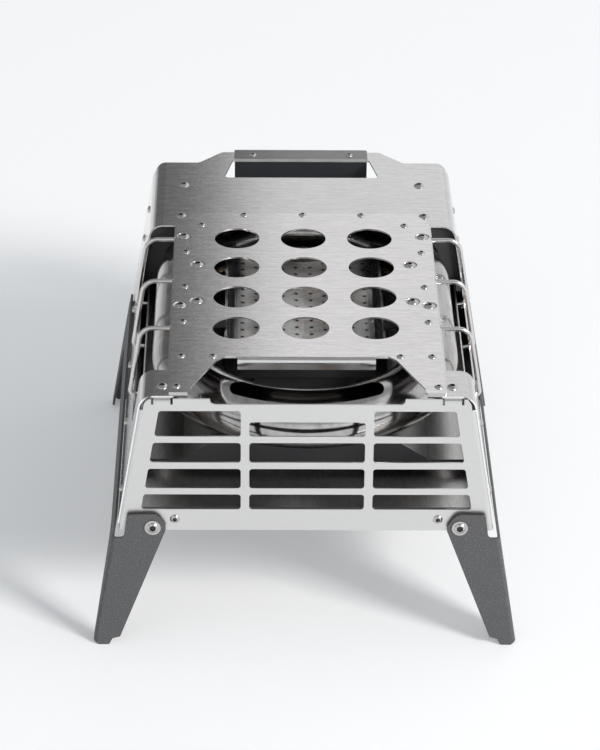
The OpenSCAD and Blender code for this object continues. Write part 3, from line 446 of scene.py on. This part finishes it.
# %% Coated finishes
PEEL_SCALE = 1500
SPECK_SCALE = PEEL_SCALE * 0.7
PEEL_ROUGH = 0.2
COARSE_PEEL = 0.06 * MM
FINE_PEEL = 0.02 * MM
FINEST_PEEL = 0.01 * MM


def coated(name, color, roughness, depth=COARSE_PEEL, speckle=0.25):
    """speckle is how far the specks and the ground between them differ from the colour."""
    finish = Finish(name)
    peel = finish.noise(PEEL_SCALE, 2.0, 0.6)
    specks = finish.noise(SPECK_SCALE, 1.0, 0.5).ramp(0.55, 0.75)
    dark = shade(1 - speckle, color)
    light = shade(1 + speckle * 1.6, color)
    finish.color(finish.mix(specks, dark, light))
    finish.rough(peel * PEEL_ROUGH + roughness)
    finish.bump(peel, depth)
    return finish.material


# The dark steel is a dark coat, made darker still as painted shade on the inner parts that sit in shadow.
DARK_COAT_AND_SHADE = coated("dark_steel", (0.035, 0.035, 0.037), 0.55, FINE_PEEL)
LEG = coated("leg_paint", (0.102, 0.104, 0.108), 0.5, speckle=0.36)
GRIP = coated("grip_rubber", (0.018, 0.021, 0.026), 0.38, FINEST_PEEL)
KNOB = coated("knob_plastic", (0.02, 0.02, 0.022), 0.45, FINE_PEEL)
SOCKET = coated("socket_dark", (0.02, 0.02, 0.02), 0.4, FINEST_PEEL)
print("coated finishes: dark, leg, grip, knob, socket")

# %% [markdown]
# ## Give every piece its finish
# A real maker orders each part in one material. The record does the same and names a material slot for every
# node, so one table that turns the slot into a finish dresses the whole frame.

# %% Dress the frame
FINISH_OF_SLOT = {
    "shell_steel": SHELL, "panel_steel": PANEL, "grille_steel": GRILLE, "plate_steel": PLATE,
    "tray_steel": TRAY, "tube_steel": TUBE, "bed_steel": BED, "dark_steel": DARK_COAT_AND_SHADE, "leg_paint": LEG,
    "screw_steel": SCREW, "wire_steel": WIRE, "strip_steel": STRIP, "grip_rubber": GRIP,
    "knob_plastic": KNOB, "brass": BRASS, "zinc": ZINC,
}
slot_of = {part["node"]: part["material_slot"] for part in frame["record"]["subparts"]}
for node, piece in nodes.items():
    piece.data.materials.clear()
    piece.data.materials.append(FINISH_OF_SLOT[slot_of[node]])
print("dressed", len(nodes), "pieces")

# %% [markdown]
# ## Making round pieces
# A tube, a wire or a screw is one ring of points that is drawn along, swung round a bend or widened. A curve
# with a round bevel could make a tube as well, but the same few moves make all three kinds of piece, so they
# get short names here. A bend's swing is a spin about the middle of the bend.

# %% Selecting and editing
def alone(piece):
    bpy.ops.object.select_all(action="DESELECT")
    bpy.context.view_layer.objects.active = piece
    piece.select_set(True)


def edit(mode):
    bpy.ops.object.mode_set(mode=mode)


def pick(piece, test):
    """Selects the points of the piece being edited that pass a test."""
    bpy.ops.mesh.select_mode(type="VERT")
    bpy.ops.mesh.select_all(action="DESELECT")
    edit("OBJECT")
    for vertex in piece.data.vertices:
        vertex.select = test(vertex.co)
    edit("EDIT")


print("moves: alone, edit, pick")

# %% [markdown]
# ## Drawing with a ring
# Every round piece starts as a circle of points, turned to face along the piece. Extruding the circle draws a
# straight stretch, and the Spin tool swings it round a bend. Both leave the newest ring selected, so the next
# move goes on from there, like a pen that stays on the paper.

# %% Drawing with a ring
def ring(name, radius, centre, axis, points, fill="NOTHING"):
    """A circle of points about an axis, left in edit mode."""
    bpy.ops.object.select_all(action="DESELECT")
    bpy.ops.mesh.primitive_circle_add(vertices=points, radius=radius, fill_type=fill)
    piece = bpy.context.object
    piece.name = name
    edit("EDIT")
    bpy.ops.mesh.select_all(action="SELECT")
    if axis != "Z":
        across = "Y" if axis == "X" else "X"
        bpy.ops.transform.rotate(value=math.pi / 2, orient_axis=across, center_override=(0, 0, 0))
    bpy.ops.transform.translate(value=centre)
    return piece


def draw(x, y, z):
    bpy.ops.mesh.extrude_region_move(TRANSFORM_OT_translate={"value": (x, y, z)})


def swing(degrees, centre, axis, steps):
    """Draws the ring round a bend, anticlockwise when the axis points at the eye."""
    bpy.ops.mesh.spin(steps=steps, angle=-math.radians(degrees), center=centre, axis=axis)


print("moves: ring, draw, swing")

# %% [markdown]
# ## Finishing a piece
# Where a loop meets its start, two rings lie in one place, so the points that touch are merged. Then smooth
# shading hides the facets, except at corners sharper than the limit. Holes could be modelled face by face,
# but a Boolean modifier cuts them cleanly. It is applied at once, so that its cutter can go. Last, each piece
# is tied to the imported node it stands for.

# %% Finishing a piece
TOUCHING = 0.005 * MM
CORNER = math.radians(30)


def smooth(piece):
    """Smooths what isn't a corner."""
    alone(piece)
    bpy.ops.object.shade_smooth_by_angle(angle=CORNER)


def close_up(piece):
    """Merges what touches and turns the normals outwards."""
    bpy.ops.mesh.select_all(action="SELECT")
    bpy.ops.mesh.remove_doubles(threshold=TOUCHING)
    bpy.ops.mesh.normals_make_consistent(inside=False)
    edit("OBJECT")
    smooth(piece)


def cut(piece, cutter):
    alone(piece)
    bpy.ops.object.modifier_add(type="BOOLEAN")
    tool = piece.modifiers[-1]
    tool.operation = "DIFFERENCE"
    tool.object = cutter
    bpy.ops.object.modifier_apply(modifier=tool.name)
    bpy.data.objects.remove(cutter)


def stands_for(piece, node):
    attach(piece, "frame")
    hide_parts(node)
    print(node, "modelled again:", len(piece.data.polygons), "faces")


print("moves: smooth, close_up, cut, stands_for")

# %% [markdown]
# ## The radiant tube
# On the real object this is a stainless tube bent into a closed loop. Its polish mirrors the whole studio, so
# any flat facet would show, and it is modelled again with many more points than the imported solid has. The
# ring of points is drawn along one side, swung round the rear bend, drawn back and swung round the front
# bend. Then a Solidify modifier gives the wall its thickness.

# %% Tube loop
TUBE_R = 25.4 * MM
TUBE_WALL = 1.5 * MM
TUBE_POINTS = 72
BEND_R = 108 * MM
BEND_STEPS = 72
TUBE_Z = 201.7 * MM
FRONT_BEND = FRONT_Y + 142.5 * MM
REAR_BEND = FRONT_Y + 282.5 * MM
UPRIGHT = (0, 0, 1)

tube = ring("radiant_tube", TUBE_R, (BEND_R, FRONT_BEND, TUBE_Z), "Y", TUBE_POINTS)
draw(0, REAR_BEND - FRONT_BEND, 0)
swing(180, (0, REAR_BEND, TUBE_Z), UPRIGHT, BEND_STEPS)
draw(0, FRONT_BEND - REAR_BEND, 0)
swing(180, (0, FRONT_BEND, TUBE_Z), UPRIGHT, BEND_STEPS)
close_up(tube)
bpy.ops.object.modifier_add(type="SOLIDIFY")
wall = tube.modifiers[-1]
wall.thickness = TUBE_WALL
wall.offset = -1
bpy.ops.object.modifier_apply(modifier=wall.name)
print("tube loop:", len(tube.data.polygons), "faces")

# %% [markdown]
# The flames leave the front bend through a long slot with round ends. A plane that stands across the tube is
# swung to one end of the slot and from there to the other, which makes a curved block. The block and a
# cylinder at each end are then cut out of the tube.

# %% Slot in the front bend
SLOT_R = BEND_R + 5 * MM
SLOT_W = 17 * MM
SLOT_HALF = 30
SLOT_STEPS = 30
SLOT_END_POINTS = 48
CUTTER_H = 40 * MM
cutter_z = TUBE_Z + CUTTER_H / 2

bpy.ops.object.select_all(action="DESELECT")
bpy.ops.mesh.primitive_plane_add(size=1)
block = bpy.context.object
edit("EDIT")
bpy.ops.mesh.select_all(action="SELECT")
bpy.ops.transform.rotate(value=math.pi / 2, orient_axis="Y", center_override=(0, 0, 0))
bpy.ops.transform.resize(value=(1, SLOT_W, CUTTER_H), center_override=(0, 0, 0))
bpy.ops.transform.translate(value=(0, FRONT_BEND - SLOT_R, cutter_z))
swing(-SLOT_HALF, (0, FRONT_BEND, TUBE_Z), UPRIGHT, 1)
pick(block, lambda at: abs(at.x) < MM)
bpy.ops.mesh.delete(type="VERT")
bpy.ops.mesh.select_all(action="SELECT")
swing(2 * SLOT_HALF, (0, FRONT_BEND, TUBE_Z), UPRIGHT, SLOT_STEPS)
close_up(block)
cut(tube, block)
for side in (-1, 1):
    end_x = side * SLOT_R * math.sin(math.radians(SLOT_HALF))
    end_y = FRONT_BEND - SLOT_R * math.cos(math.radians(SLOT_HALF))
    bpy.ops.mesh.primitive_cylinder_add(vertices=SLOT_END_POINTS, radius=SLOT_W / 2, depth=CUTTER_H,
                                        location=(end_x, end_y, cutter_z))
    cut(tube, bpy.context.object)
print("slot: %.0f mm along its middle" % (math.radians(2 * SLOT_HALF) * SLOT_R / MM))

# %% [markdown]
# The gas comes in from below, through a small hole in the rear bend where the injector sits. A short cylinder
# cuts it. After the last cut the shading is smoothed once more, because a cut leaves its new edges as they
# come.

# %% Hole for the injector
INJECTOR_AT = (-30 * MM, FRONT_Y + 396 * MM, TUBE_Z - TUBE_R)
INJECTOR_HOLE_R = 5.5 * MM
INJECTOR_HOLE_POINTS = 32
INJECTOR_HOLE_H = 20 * MM

bpy.ops.mesh.primitive_cylinder_add(vertices=INJECTOR_HOLE_POINTS, radius=INJECTOR_HOLE_R,
                                    depth=INJECTOR_HOLE_H, location=INJECTOR_AT)
cut(tube, bpy.context.object)
smooth(tube)
tube.data.materials.append(TUBE)
stands_for(tube, "burner_tube")

# %% [markdown]
# ## The line of a guard wire
# Three round wires arch over each shoulder and keep hands off the tube. Each lies under the top panel, bends
# down along the leaning wall and hooks into it. Where the bend starts and how far the wire runs down could be
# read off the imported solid. Working them out from the wall's angle shows why they are what they are.

# %% The line of a wire
WALL_ANGLE = math.radians(9.5)
SHELL_TOP = 240.2 * MM
SHELL_HALF = 139 * MM
WIRE_R = 2 * MM
WIRE_GAP = 0.1 * MM
WALL_GAP = 2.4 * MM
WIRE_BEND = 12 * MM
WIRE_END_Z = 174 * MM
HOOK_R = 4 * MM
HOOK_END = 6 * MM
ALONG = (0, 1, 0)


def wall_x(z):
    """How far out the leaning wall is at a height."""
    return SHELL_HALF + (SHELL_TOP - z) * math.tan(WALL_ANGLE)


wire_z = SHELL_TOP - WIRE_R - WIRE_GAP
shoulder = math.pi / 2 - WALL_ANGLE
reach = WIRE_BEND * math.tan(shoulder / 2)
bend_x = wall_x(wire_z) + WALL_GAP / math.cos(WALL_ANGLE) - reach
run = (wire_z - WIRE_END_Z) / math.cos(WALL_ANGLE) - reach - HOOK_R
down = Vector((math.sin(WALL_ANGLE), 0, -math.cos(WALL_ANGLE)))
inward = Vector((-math.cos(WALL_ANGLE), 0, -math.sin(WALL_ANGLE)))
print("a wire runs %.1f mm down the wall" % (run / MM))

# %% [markdown]
# ## The guard wires
# A wire catches a bright line along its length, which needs a truly round section, so the wires are drawn
# with the same moves as the tube. Those on the right are drawn, and those on the left are mirrored copies. A
# Mirror modifier would do that as well, but it would make one piece of two wires that are separate nodes.

# %% Guard wires
WIRE_POINTS = 24
WIRE_BEND_STEPS = 20
HOOK_STEPS = 12


def guard_wire(y, inner_x):
    wire = ring("guard_wire", WIRE_R, (inner_x, y, wire_z), "X", WIRE_POINTS, "NGON")
    draw(bend_x - inner_x, 0, 0)
    bend = Vector((bend_x, y, wire_z - WIRE_BEND))
    swing(math.degrees(shoulder), bend, ALONG, WIRE_BEND_STEPS)
    draw(*(down * run))
    end = bend - inward * WIRE_BEND + down * run
    swing(90, end + inward * HOOK_R, ALONG, HOOK_STEPS)
    draw(*(inward * HOOK_END))
    close_up(wire)
    return wire


def mirrored(wire):
    alone(wire)
    bpy.ops.object.duplicate()
    copy = bpy.context.object
    edit("EDIT")
    bpy.ops.mesh.select_all(action="SELECT")
    bpy.ops.transform.resize(value=(-1, 1, 1), center_override=(0, 0, 0))
    close_up(copy)
    return copy


for place, depth, inner_x in (("front", 127.5, 103), ("middle", 216.5, 103), ("rear", 299.5, 110.2)):
    right_wire = guard_wire(FRONT_Y + depth * MM, inner_x * MM)
    left_wire = mirrored(right_wire)
    for side, wire in (("right", right_wire), ("left", left_wire)):
        wire.data.materials.append(WIRE)
        stands_for(wire, "guard_wire_%s_%s" % (side, place))

# %% [markdown]
# ## Button head screws
# The sheets are held by low domed screws with a six-sided socket. A screw could be spun from a drawn profile,
# but a ring that is drawn up and widened or narrowed at each step gives clean bands of faces and closed ends.
# The dome is a cap of a ball, so its steps go by the ball's angle. A six-sided block cuts the socket, whose
# inside gets a dark finish, because little light gets there.

# %% The model of a screw
SCREW_POINTS = 32
COLLAR_H = 1 * MM
DOME_STEPS = 7
RIM_OF_SOCKET = 1.12
SOCKET_DEPTH = 0.7
CUTTER_DEPTH = 10 * MM
FACE_CHECK = 0.1 * MM


def turned(name, profile):
    """A round piece drawn up ring by ring, from pairs of a radius and a height."""
    radius, z = profile[0]
    piece = ring(name, radius, (0, 0, z), "Z", SCREW_POINTS, "NGON")
    for next_radius, next_z in profile[1:]:
        draw(0, 0, next_z - z)
        grow = next_radius / radius
        bpy.ops.transform.resize(value=(grow, grow, 1), center_override=(0, 0, next_z))
        radius, z = next_radius, next_z
    close_up(piece)
    return piece


def button_screw(head_r, head_h, shank_r, length, socket_r, collar_r=0):
    """A screw whose seat is at z = 0, with a thin collar under the dome if collar_r is given."""
    ball_r = (head_r * head_r + head_h * head_h) / (2 * head_h)
    ball_z = head_h - ball_r
    start_z = COLLAR_H if collar_r else 0
    low = math.asin((start_z - ball_z) / ball_r)
    high = math.acos(socket_r * RIM_OF_SOCKET / ball_r)
    profile = [(shank_r, -length), (shank_r, 0)]
    if collar_r:
        profile += [(collar_r, 0), (collar_r, COLLAR_H)]
    for step in range(DOME_STEPS + 1):
        angle = low + (high - low) * step / DOME_STEPS
        profile.append((ball_r * math.cos(angle), ball_z + ball_r * math.sin(angle)))
    screw = turned("button_screw", profile)

    floor_z = head_h * (1 - SOCKET_DEPTH)
    top_z = profile[-1][1]
    bpy.ops.mesh.primitive_cylinder_add(vertices=6, radius=socket_r, depth=CUTTER_DEPTH,
                                        location=(0, 0, floor_z + CUTTER_DEPTH / 2))
    cut(screw, bpy.context.object)
    smooth(screw)
    for finish in (SCREW, SOCKET):
        screw.data.materials.append(finish)
    for face in screw.data.polygons:
        inside = face.center.xy.length < socket_r
        if inside and floor_z - FACE_CHECK < face.center.z < top_z - FACE_CHECK:
            face.material_index = 1
    return screw


print("a screw's dome has", DOME_STEPS, "bands of", SCREW_POINTS, "faces")

# %% [markdown]
# ## The sizes of the screws
# The fire pit uses six sizes, from the small ones on the panel to the pivots of the legs, which have a
# collar. The long ones differ from the small and the big ones only in their shanks. One screw could be copied
# and scaled, but that would stretch its socket and its shank as well, so each size is modelled.

# %% Screw sizes
small = button_screw(head_r=3.6 * MM, head_h=2 * MM, shank_r=1.6 * MM, length=5 * MM, socket_r=1.8 * MM)
long_small = button_screw(head_r=3.6 * MM, head_h=2 * MM, shank_r=1.6 * MM, length=12 * MM,
                          socket_r=1.8 * MM)
big = button_screw(head_r=5 * MM, head_h=2.7 * MM, shank_r=1.9 * MM, length=6 * MM, socket_r=2.4 * MM)
long_big = button_screw(head_r=5 * MM, head_h=2.7 * MM, shank_r=1.9 * MM, length=8 * MM, socket_r=2.4 * MM)
plate_screw = button_screw(head_r=4.2 * MM, head_h=2.1 * MM, shank_r=1.9 * MM, length=7 * MM,
                           socket_r=2.1 * MM)
leg_screw = button_screw(head_r=5.65 * MM, head_h=3.3 * MM, shank_r=3 * MM, length=12.5 * MM,
                         socket_r=3 * MM, collar_r=6.85 * MM)
models = (small, long_small, big, long_big, plate_screw, leg_screw)
print("screw models:", len(models))

# %% [markdown]
# ## Where the screws sit
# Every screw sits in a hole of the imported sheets, so its place is the hole's. On the flat tops it is given by
# how far it is from the middle and behind the front, on the leaning walls by how far behind the front and
# how high, and on the two end plates by how far from the middle and how high. The screws could be moved and
# turned in two steps, but a matrix does both at once: it moves the seat onto the sheet and turns the axis
# square to it.

# %% Places
PANEL_TOP = SHELL_TOP + 1.5 * MM
GUARD_TOP = SHELL_TOP + 1 * MM
PANEL_REAR = 347.5
REAR_FACE = 426

# In millimetres: from the middle and behind the front, or on the walls behind the front and up.
panel_spots = [(109.1, 17.4), (79.5, 70.2), (106.3, 70.3), (106.2, 132.8), (105.7, 198.9),
               (105.9, PANEL_REAR - 80.7), (92.6, PANEL_REAR - 25.5), (53.8, PANEL_REAR - 4)]
guard_spots = [(108.4, 164.1), (108, 299.5), (94, 172.1), (94.5, 242.9)]
shell_spots = [(120.7, 20), (111.6, 343.8), (110.3, 410.5)]
handle_spots = [(46, 475)]
side_spots = [(45, 127), (160, 127), (265, 127), (375, 127), (338, 150), (338, 178), (338, 207),
              (410, 185), (410, 215)]


def on_top(spots, z):
    """Places on the flat tops, on both sides of the middle."""
    return [Matrix.Translation((side * x * MM, FRONT_Y + depth * MM, z))
            for x, depth in spots for side in (-1, 1)]


def on_walls(spots):
    """Places on the two leaning walls."""
    places = []
    for depth, z in spots:
        for side in (-1, 1):
            at = Matrix.Translation((side * wall_x(z * MM), FRONT_Y + depth * MM, z * MM))
            places.append(at @ Matrix.Rotation(side * shoulder, 4, "Y"))
    return places


def on_ends(x, z, out):
    """Places on the front and the rear plate, on both sides of the middle. out is how far they stand off."""
    places = []
    for side in (-1, 1):
        for depth, turn in ((-out, 90), (REAR_FACE + out, -90)):
            at = Matrix.Translation((side * x * MM, FRONT_Y + depth * MM, z * MM))
            places.append(at @ Matrix.Rotation(math.radians(turn), 4, "X"))
    return places


print("spots: %d on the panel, %d on each wall" % (2 * len(panel_spots) + 1, len(side_spots)))

# %% [markdown]
# ## Setting the screws
# A copy of the right model goes to every place, and all copies of one kind are joined, because one packed
# node holds them all. Instances would be lighter, but a finished piece has to be one mesh of its own. The
# models are thrown away at the end.

# %% Set the screws
def put(model, node, places):
    """A copy of the model at every place, joined into one piece for the node."""
    copies = []
    for place in places:
        alone(model)
        bpy.ops.object.duplicate()
        copy = bpy.context.object
        copy.data.transform(place)
        copies.append(copy)
    bpy.ops.object.select_all(action="DESELECT")
    for copy in copies:
        copy.select_set(True)
    bpy.context.view_layer.objects.active = copies[0]
    bpy.ops.object.join()
    piece = bpy.context.object
    piece.name = node + "_button"
    stands_for(piece, node)


panel_middle = Matrix.Translation((0, FRONT_Y + (PANEL_REAR - 3.5) * MM, PANEL_TOP))
put(small, "panel_screws", on_top(panel_spots, PANEL_TOP) + [panel_middle])
put(small, "side_screws", on_walls(side_spots))
put(long_big, "guard_screws", on_top(guard_spots, GUARD_TOP))
put(big, "shell_screws", on_top(shell_spots, SHELL_TOP))
put(long_small, "handle_screws", on_top(handle_spots, PANEL_TOP))
put(plate_screw, "plate_screws", on_ends(x=111, z=123.6, out=0))
put(leg_screw, "leg_screws", on_ends(x=129.6, z=117.9, out=4.45))
for model in models:
    bpy.data.objects.remove(model)

# %% [markdown]
# ## The studio floor
# The photograph stands on white paper that keeps a soft bluish shadow. Making the paper bright with more
# light would bleach the steel. Its colour is nearly white instead, and a little of what the camera and the
# mirrors see of it is even white light of its own, which lights nothing else.

# %% Floor
PAPER = (0.94, 0.95, 0.96, 1)
PAPER_WHITE = (0.95, 0.975, 1.0, 1)
WHITE_SHARE = 0.20
FLOOR_SIZE = 40

bpy.ops.object.select_all(action="DESELECT")
bpy.ops.mesh.primitive_plane_add(size=FLOOR_SIZE)
floor = bpy.context.object
floor.name = "studio_floor"
paper = Finish("studio_paper", Roughness=0.9)
paper.color(PAPER)
seen = (paper.node("ShaderNodeLightPath", {}, output="Is Camera Ray")
        + paper.node("ShaderNodeLightPath", {}, output="Is Glossy Ray"))
glow = paper.node("ShaderNodeEmission", {}, PAPER_WHITE, 1.0)
surface = Signal(paper, paper.shader.outputs[0])
blend = paper.node("ShaderNodeMixShader", {}, seen * WHITE_SHARE, surface, glow)
paper.feed(paper.tree.nodes["Material Output"].inputs["Surface"], blend)
floor.data.materials.append(paper.material)
print("floor:", floor.name)

# %% [markdown]
# ## Directions in the studio
# Steel looks like what it mirrors, so the studio round the fire pit matters as much as its lamp. Big screens
# and cloths could be built as objects, but they would show in other views. They are drawn into the world's
# background by direction instead: the azimuth in degrees, 0 straight behind the object, 90 on its right and
# -90 on its left, and the elevation above the floor.

# %% Directions
class Sky(Finish):
    """A finish whose shader is the world's background."""
    def __init__(self, world):
        world.use_nodes = True
        self.tree = world.node_tree
        self.shader = self.tree.nodes["Background"]


world = bpy.data.worlds.new("studio")
bpy.context.scene.world = world
sky = Sky(world)
toward = sky.node("ShaderNodeTexCoord", {}, output="Generated")
east, north, height = toward.part(0), toward.part(1), toward.part(2)
azimuth = east.math("ARCTAN2", north) * math.degrees(1)


def rises(low, high):
    """0 at one elevation and 1 at the other, in degrees."""
    return height.ramp(math.sin(math.radians(low)), math.sin(math.radians(high)))


print("directions: azimuth and elevation")

# %% [markdown]
# ## The studio walls
# The flat tops of the fire pit are dark on the left and pale on the right, so the studio has a dark cloth
# behind to the left and a pale screen behind to the right, with a narrow edge between them. A paler patch
# stands opposite, behind the viewer. The horizon is white except to the left, and the ceiling is plain.

# %% Studio walls
WALL = 0.45
SCREEN = 0.55
CLOTH = 0.27
FRONT = 0.45
CEILING = 0.40
SKY = (0.95, 0.98, 1.0, 1)
BLACK = (0, 0, 0, 1)
DIM_HORIZON = 0.85

# How high the screen and the cloth stand, and the edge where they meet.
band = rises(6, 9) * rises(62, 52)
edge = azimuth.ramp(-1.3, 0.6)
screen = edge * azimuth.ramp(130, 100) * band
cloth = (1 - edge) * azimuth.ramp(-70, -35) * band

# The patch behind the viewer. The square takes both sides at once, and it is full from 125 degrees on.
front = (azimuth * azimuth).ramp(100 ** 2, 125 ** 2) * rises(8, 16) * rises(50, 38)

# The white line just above the floor, dimmed on the left, so that the left side mirrors less of it.
left = azimuth.ramp(-100, -80) * azimuth.ramp(-4, -12)
horizon = rises(8, 4) * (1 - DIM_HORIZON * left)

# All of it together, on a plain grey wall. The ceiling covers what stands too high.
walls = screen * SCREEN - cloth * CLOTH + front * FRONT + horizon * (1 - WALL) + WALL
ceiling = rises(52, 64)
level = (1 - ceiling) * walls + ceiling * CEILING
sky.feed(sky.shader.inputs["Color"], sky.mix(level, BLACK, SKY))
print("studio walls: screen, cloth, front, horizon and ceiling")

# %% [markdown]
# ## The key lamp
# One lamp, far off to the front right, throws the long soft shadow to the left. A sun would light the floor
# just as evenly, but the polished steel mirrors its lamp, and a square lamp looks like one from a studio. It
# is a little warm, which leaves the shadow to the bluish walls.

# %% Key lamp
KEY_AT = Vector((8.1, -6.9, 6.25))
KEY_AIM = Vector((0, 0, 0.1))
KEY_SIZE = 3
KEY_RADIANCE = 49
KEY_TINT = (1, 0.965, 0.94)

light = bpy.data.lights.new("key", "AREA")
light.shape = "RECTANGLE"
light.size = light.size_y = KEY_SIZE
light.energy = KEY_RADIANCE * math.pi * KEY_SIZE * KEY_SIZE
light.color = KEY_TINT
lamp = bpy.data.objects.new("key", light)
lamp.location = KEY_AT
lamp.rotation_euler = (KEY_AIM - KEY_AT).to_track_quat("-Z", "Y").to_euler()
bpy.context.scene.collection.objects.link(lamp)
print("key lamp: %.0f W" % light.energy)

# %% [markdown]
# ## Colours as written
# The Standard view shows each colour as it was written.

# %% Colour management
bpy.context.scene.view_settings.view_transform = "Standard"
